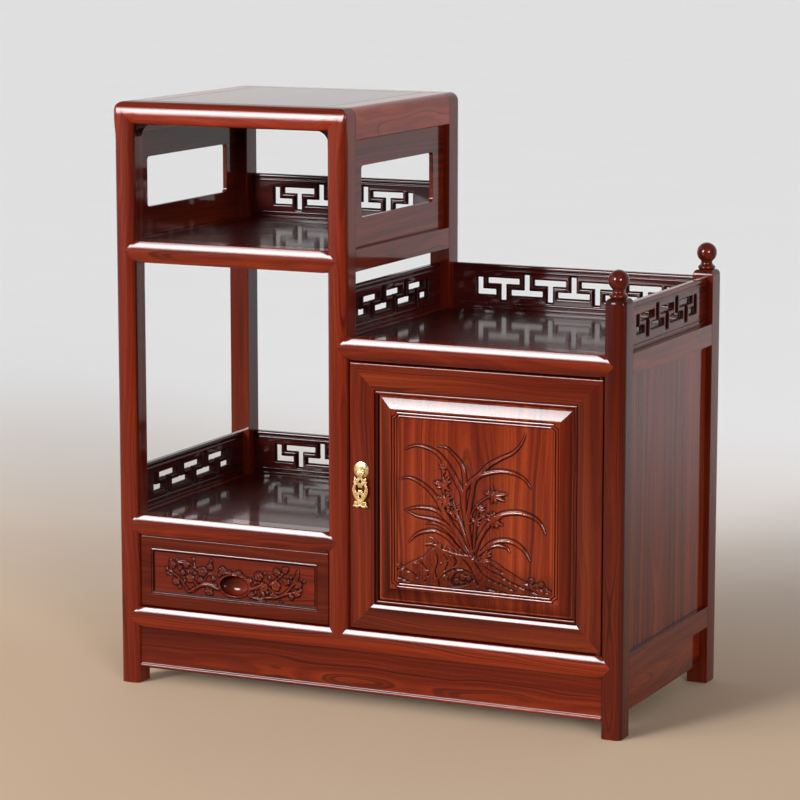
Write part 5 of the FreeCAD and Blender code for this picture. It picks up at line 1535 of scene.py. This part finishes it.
def wire(ctrl, r, y, n=6, k=8):
    P = spline(ctrl, n)
    v, f = [], []
    m = len(P)
    for i in range(m):
        t = P[min(i + 1, m - 1)] - P[max(i - 1, 0)]
        t = t / (np.linalg.norm(t) + 1e-9)
        s = np.array((-t[1], t[0]))
        rr = r * min(1.0, 0.35 + 4.0 * min(i, m - 1 - i) / m)
        for j in range(k):
            a = 2 * math.pi * j / k
            q = P[i] + s * rr * math.cos(a)
            v.append((q[0], y + 0.55 * rr * math.sin(a), q[1]))
    for i in range(m - 1):
        for j in range(k):
            l = (j + 1) % k
            f.append((i * k + j, i * k + l, (i + 1) * k + l, (i + 1) * k + j))
    f.append(tuple(range(k - 1, -1, -1)))
    f.append(tuple((m - 1) * k + j for j in range(k)))
    return mesh_of(v, f)


for sg in (-1, 1):
    ribs.append(wire([(PX + sg * 8.8, 353.0), (PX + sg * 8.0, 350.0), (PX + sg * 5.6, 347.6), (PX + sg * 3.2, 346.4)], 0.75, 2.05))
    ribs.append(wire([(PX + sg * 9.0, 346.0), (PX + sg * 10.2, 341.0), (PX + sg * 10.4, 335.6), (PX + sg * 8.8, 329.6), (PX + sg * 5.0, 324.0), (PX - sg * 1.0, 318.4), (PX - sg * 5.4, 314.6), (PX - sg * 9.0, 312.4)], 0.85, 2.0, 8))
    ribs.append(wire([(PX + sg * 4.2, 363.6), (PX + sg * 4.3, 361.0), (PX + sg * 3.2, 357.6), (PX + sg * 1.4, 354.2), (PX + sg * 3.4, 351.4), (PX + sg * 5.4, 350.0)], 0.7, 2.05))
    ribs.append(wire([(PX + sg * 6.8, 345.4), (PX + sg * 8.6, 343.2), (PX + sg * 8.9, 337.0), (PX + sg * 7.0, 331.0), (PX + sg * 4.0, 328.4)], 0.45, 2.1))
ribs.append(wire([(PX - 8.2, 312.6), (PX - 4.6, 311.4), (PX, 313.2), (PX + 4.6, 311.4), (PX + 8.2, 312.6)], 0.6, 2.05))
piece_mesh("pull_plate_brass", join_meshes([pl, kn] + ribs), "pull", "pull_plate", BRASS, grain="z", smooth=40)

# ------------------------------------------------------------------ pivots and catch
for nm, z0, z1 in (("pivot_pin_top", 515.5, 545.0), ("pivot_pin_bottom", 108.0, 135.0)):
    v, f = lathe(790.2, 12.5, [(0.0, z0), (2.2, z0), (2.5, z0 + 0.4), (2.5, z1 - 0.4), (2.2, z1), (0.0, z1)], 20)
    if nm.endswith("bottom"):
        v2, f2 = lathe(790.2, 12.5, [(2.6, 122.0), (4.8, 122.0), (5.0, 122.3), (5.0, 123.6), (4.8, 123.9), (2.6, 123.9)], 28)
        o = len(v)
        v += v2
        f += [tuple(a + o for a in q) for q in f2]
    piece(nm, v, f, "carcass", "pivot_pins", BRASS_A, smooth=40, weld=0.001)
piece_mesh("door_catch_block", join_meshes([bevel_box(378.0, 407.0, 34.0, 52.0, 478.0, 508.0, 0.6), bevel_box(392.6, 407.0, 30.4, 36.0, 478.2, 507.8, 0.3)]), "carcass", "door_catch", STEEL, grain="z", weld=0)
box_piece("catch_plate_steel", (394.0, 408.0, 29.5, 30.3, 476.0, 510.0), "door", "catch_plate", STEEL, grain="z", b=0.2)

# ------------------------------------------------------------------ stage, light, camera
fl_m = bpy.data.materials.new("floor_pale")
nt, bs = nodes_of(fl_m)
n = N(nt)
tc = n.new("ShaderNodeTexCoord")
fn = n.noise(n.vmul(tc.outputs["Object"], (2.0, 2.0, 2.0)), 1.0, 3.0, 0.5)
fs = n.new("ShaderNodeSeparateXYZ")
nt.links.new(tc.outputs["Object"], fs.inputs[0])


def fade(v, a0, a1):
    m = n.new("ShaderNodeMapRange", interpolation_type="SMOOTHSTEP")
    n.put(m.inputs["Value"], v)
    m.inputs["From Min"].default_value, m.inputs["From Max"].default_value = a0, a1
    return m.outputs[0]


# floor: tan near the piece, fading to pale grey towards the back; a dark patch in front (not at the far left) is
# painted shade, so the fronts of the wood reflect a dark floor; towards the far left the floor is painted pale,
# standing in for lit floor that the left sides of the posts reflect
near_c = n.ramp(fn, [(0.3, (0.535, 0.395, 0.280)), (0.7, (0.550, 0.410, 0.294))])
far_c = n.ramp(fn, [(0.3, (0.86, 0.85, 0.845)), (0.7, (0.87, 0.86, 0.855))])
front_shade_c = n.ramp(fn, [(0.3, (0.150, 0.110, 0.080)), (0.7, (0.160, 0.118, 0.086))])
fcol = n.mixc(fade(fs.outputs[1], -0.2, 2.6), near_c, far_c)
front = fade(n.math("MULTIPLY", fs.outputs[1], -1.0), 1.5, 2.8)
fcol = n.mixc(n.math("MULTIPLY", front, fade(fs.outputs[0], -2.3, -0.7)), fcol, front_shade_c)
fcol = n.mixc(n.math("MULTIPLY", fade(n.math("MULTIPLY", fs.outputs[0], -1.0), 1.9, 3.4), 0.85), fcol, far_c)
nt.links.new(fcol, bs.inputs["Base Color"])
bs.inputs["Roughness"].default_value = 0.9
bs.inputs["Specular IOR Level"].default_value = 0.0
me = bpy.data.meshes.new("floor")
S = 60.0
me.from_pydata([(-S, -S, 0), (S, -S, 0), (S, S, 0), (-S, S, 0)], [], [(0, 1, 2, 3)])
me.materials.append(fl_m)
floor = bpy.data.objects.new("floor", me)
scene.collection.objects.link(floor)

# A soft studio painted on the sky: a pale room behind, a darker one in front, two soft boxes.
world = bpy.data.worlds.new("studio")
scene.world = world
world.use_nodes = True
nt = world.node_tree
nt.nodes.clear()
n = N(nt)
wo = nt.nodes.new("ShaderNodeOutputWorld")
bg = nt.nodes.new("ShaderNodeBackground")
tc = nt.nodes.new("ShaderNodeTexCoord")
dirv = tc.outputs["Generated"]
sp = nt.nodes.new("ShaderNodeSeparateXYZ")
nt.links.new(dirv, sp.inputs[0])


def smooth_range(v, a0, a1):
    m = n.new("ShaderNodeMapRange", interpolation_type="SMOOTHSTEP")
    n.put(m.inputs["Value"], v)
    m.inputs["From Min"].default_value, m.inputs["From Max"].default_value = a0, a1
    m.inputs["To Min"].default_value, m.inputs["To Max"].default_value = 0.0, 1.0
    return m.outputs[0]


def vdot(v, c):
    d = n.new("ShaderNodeVectorMath", operation="DOT_PRODUCT")
    n.put(d.inputs[0], v)
    d.inputs[1].default_value = c
    return d.outputs["Value"]


def softbox(az, el_lo, el_mid, el_hi, half_w, soft_w, level, soft_lo=3.0):
    """Azimuth from the front (-Y) towards +X, in degrees; brightest from el_lo to el_mid, gone at el_hi."""
    a = math.radians(az)
    fwd = (math.sin(a), -math.cos(a), 0.0)
    rgt = (math.cos(a), math.sin(a), 0.0)
    f = vdot(dirv, fwd)
    r = vdot(dirv, rgt)
    side = n.math("ARCTAN2", r, f)
    el = n.math("ARCSINE", sp.outputs[2])
    hw = math.radians(half_w)
    sw = math.radians(soft_w)
    mh = n.math("SUBTRACT", 1.0, smooth_range(n.math("ABSOLUTE", side), hw - sw, hw + sw))
    lo = smooth_range(el, math.radians(el_lo - soft_lo), math.radians(el_lo + soft_lo))
    hi = n.math("SUBTRACT", 1.0, smooth_range(el, math.radians(el_mid), math.radians(el_hi)))
    return n.math("MULTIPLY", n.math("MULTIPLY", mh, n.math("MULTIPLY", lo, hi)), level)


gr = n.math("ADD", n.math("MULTIPLY", sp.outputs[1], 0.5), 0.5, clamp=True)
room = n.ramp(gr, [(0.0, ROOM_FRONT), (0.42, ROOM_SIDE), (0.78, ROOM_BACK), (1.0, ROOM_BACK)])
up = smooth_range(n.math("SUBTRACT", sp.outputs[2], n.math("MULTIPLY", smooth_range(sp.outputs[1], 0.1, 0.6), 0.42)), 0.16, 0.62)
room = n.mixc(up, room, ROOM_TOP)
box = n.math("ADD", softbox(-26.0, 8.5, 15.0, 34.0, 8.0, 3.5, KEY_L, 4.5), softbox(42.0, 6.0, 14.0, 26.0, 8.0, 4.0, KEY2_L))
box = n.math("ADD", box, softbox(-78.0, 2.0, 22.0, 50.0, 30.0, 12.0, LEFT_L))
boxc = n.mixc(1.0, (0.985, 0.99, 1.0), n.ramp(n.math("MULTIPLY", box, 1.0 / 64.0), [(0.0, 0.0), (1.0, 1.0)]), blend="MULTIPLY")
sc = n.new("ShaderNodeVectorMath", operation="SCALE")
n.put(sc.inputs[0], boxc)
sc.inputs["Scale"].default_value = 64.0
tot = n.vadd(room, sc.outputs[0])
nt.links.new(tot, bg.inputs[0])
bg.inputs[1].default_value = 1.0
nt.links.new(bg.outputs[0], wo.inputs[0])

# a lamp near the upper left front, so the light falls off towards the lower right
ld = bpy.data.lights.new("front_lamp", "AREA")
ld.shape, ld.size, ld.size_y, ld.energy, ld.color = "RECTANGLE", 1.1, 1.1, LAMP_W, (1.0, 0.96, 0.92)
lamp = bpy.data.objects.new("front_lamp", ld)
scene.collection.objects.link(lamp)
lamp.location = (-1.7, -2.2, 1.9)
lamp.rotation_mode = "QUATERNION"
lamp.rotation_quaternion = (Vector((-0.1, 0.0, 0.5)) - Vector(lamp.location)).to_track_quat("-Z", "Y")
lamp.visible_glossy = False
lamp.visible_camera = False

cam_d = bpy.data.cameras.new("camera")
cam_d.sensor_width = 36.0
cam_d.lens = 3191.3 * 36.0 / 800.0
cam = bpy.data.objects.new("camera", cam_d)
scene.collection.objects.link(cam)
cam.location = (2.432 - 0.415, -4.189 - 0.2025, 1.242)
cam.rotation_euler = (math.radians(90.0 - 9.403), 0.0, math.radians(25.0))
cam_d.clip_start, cam_d.clip_end = 0.1, 200.0
scene.camera = cam

scene.view_settings.view_transform = "Standard"
scene.view_settings.look = "None"
scene.view_settings.exposure = 0.0
scene.view_settings.gamma = 1.0
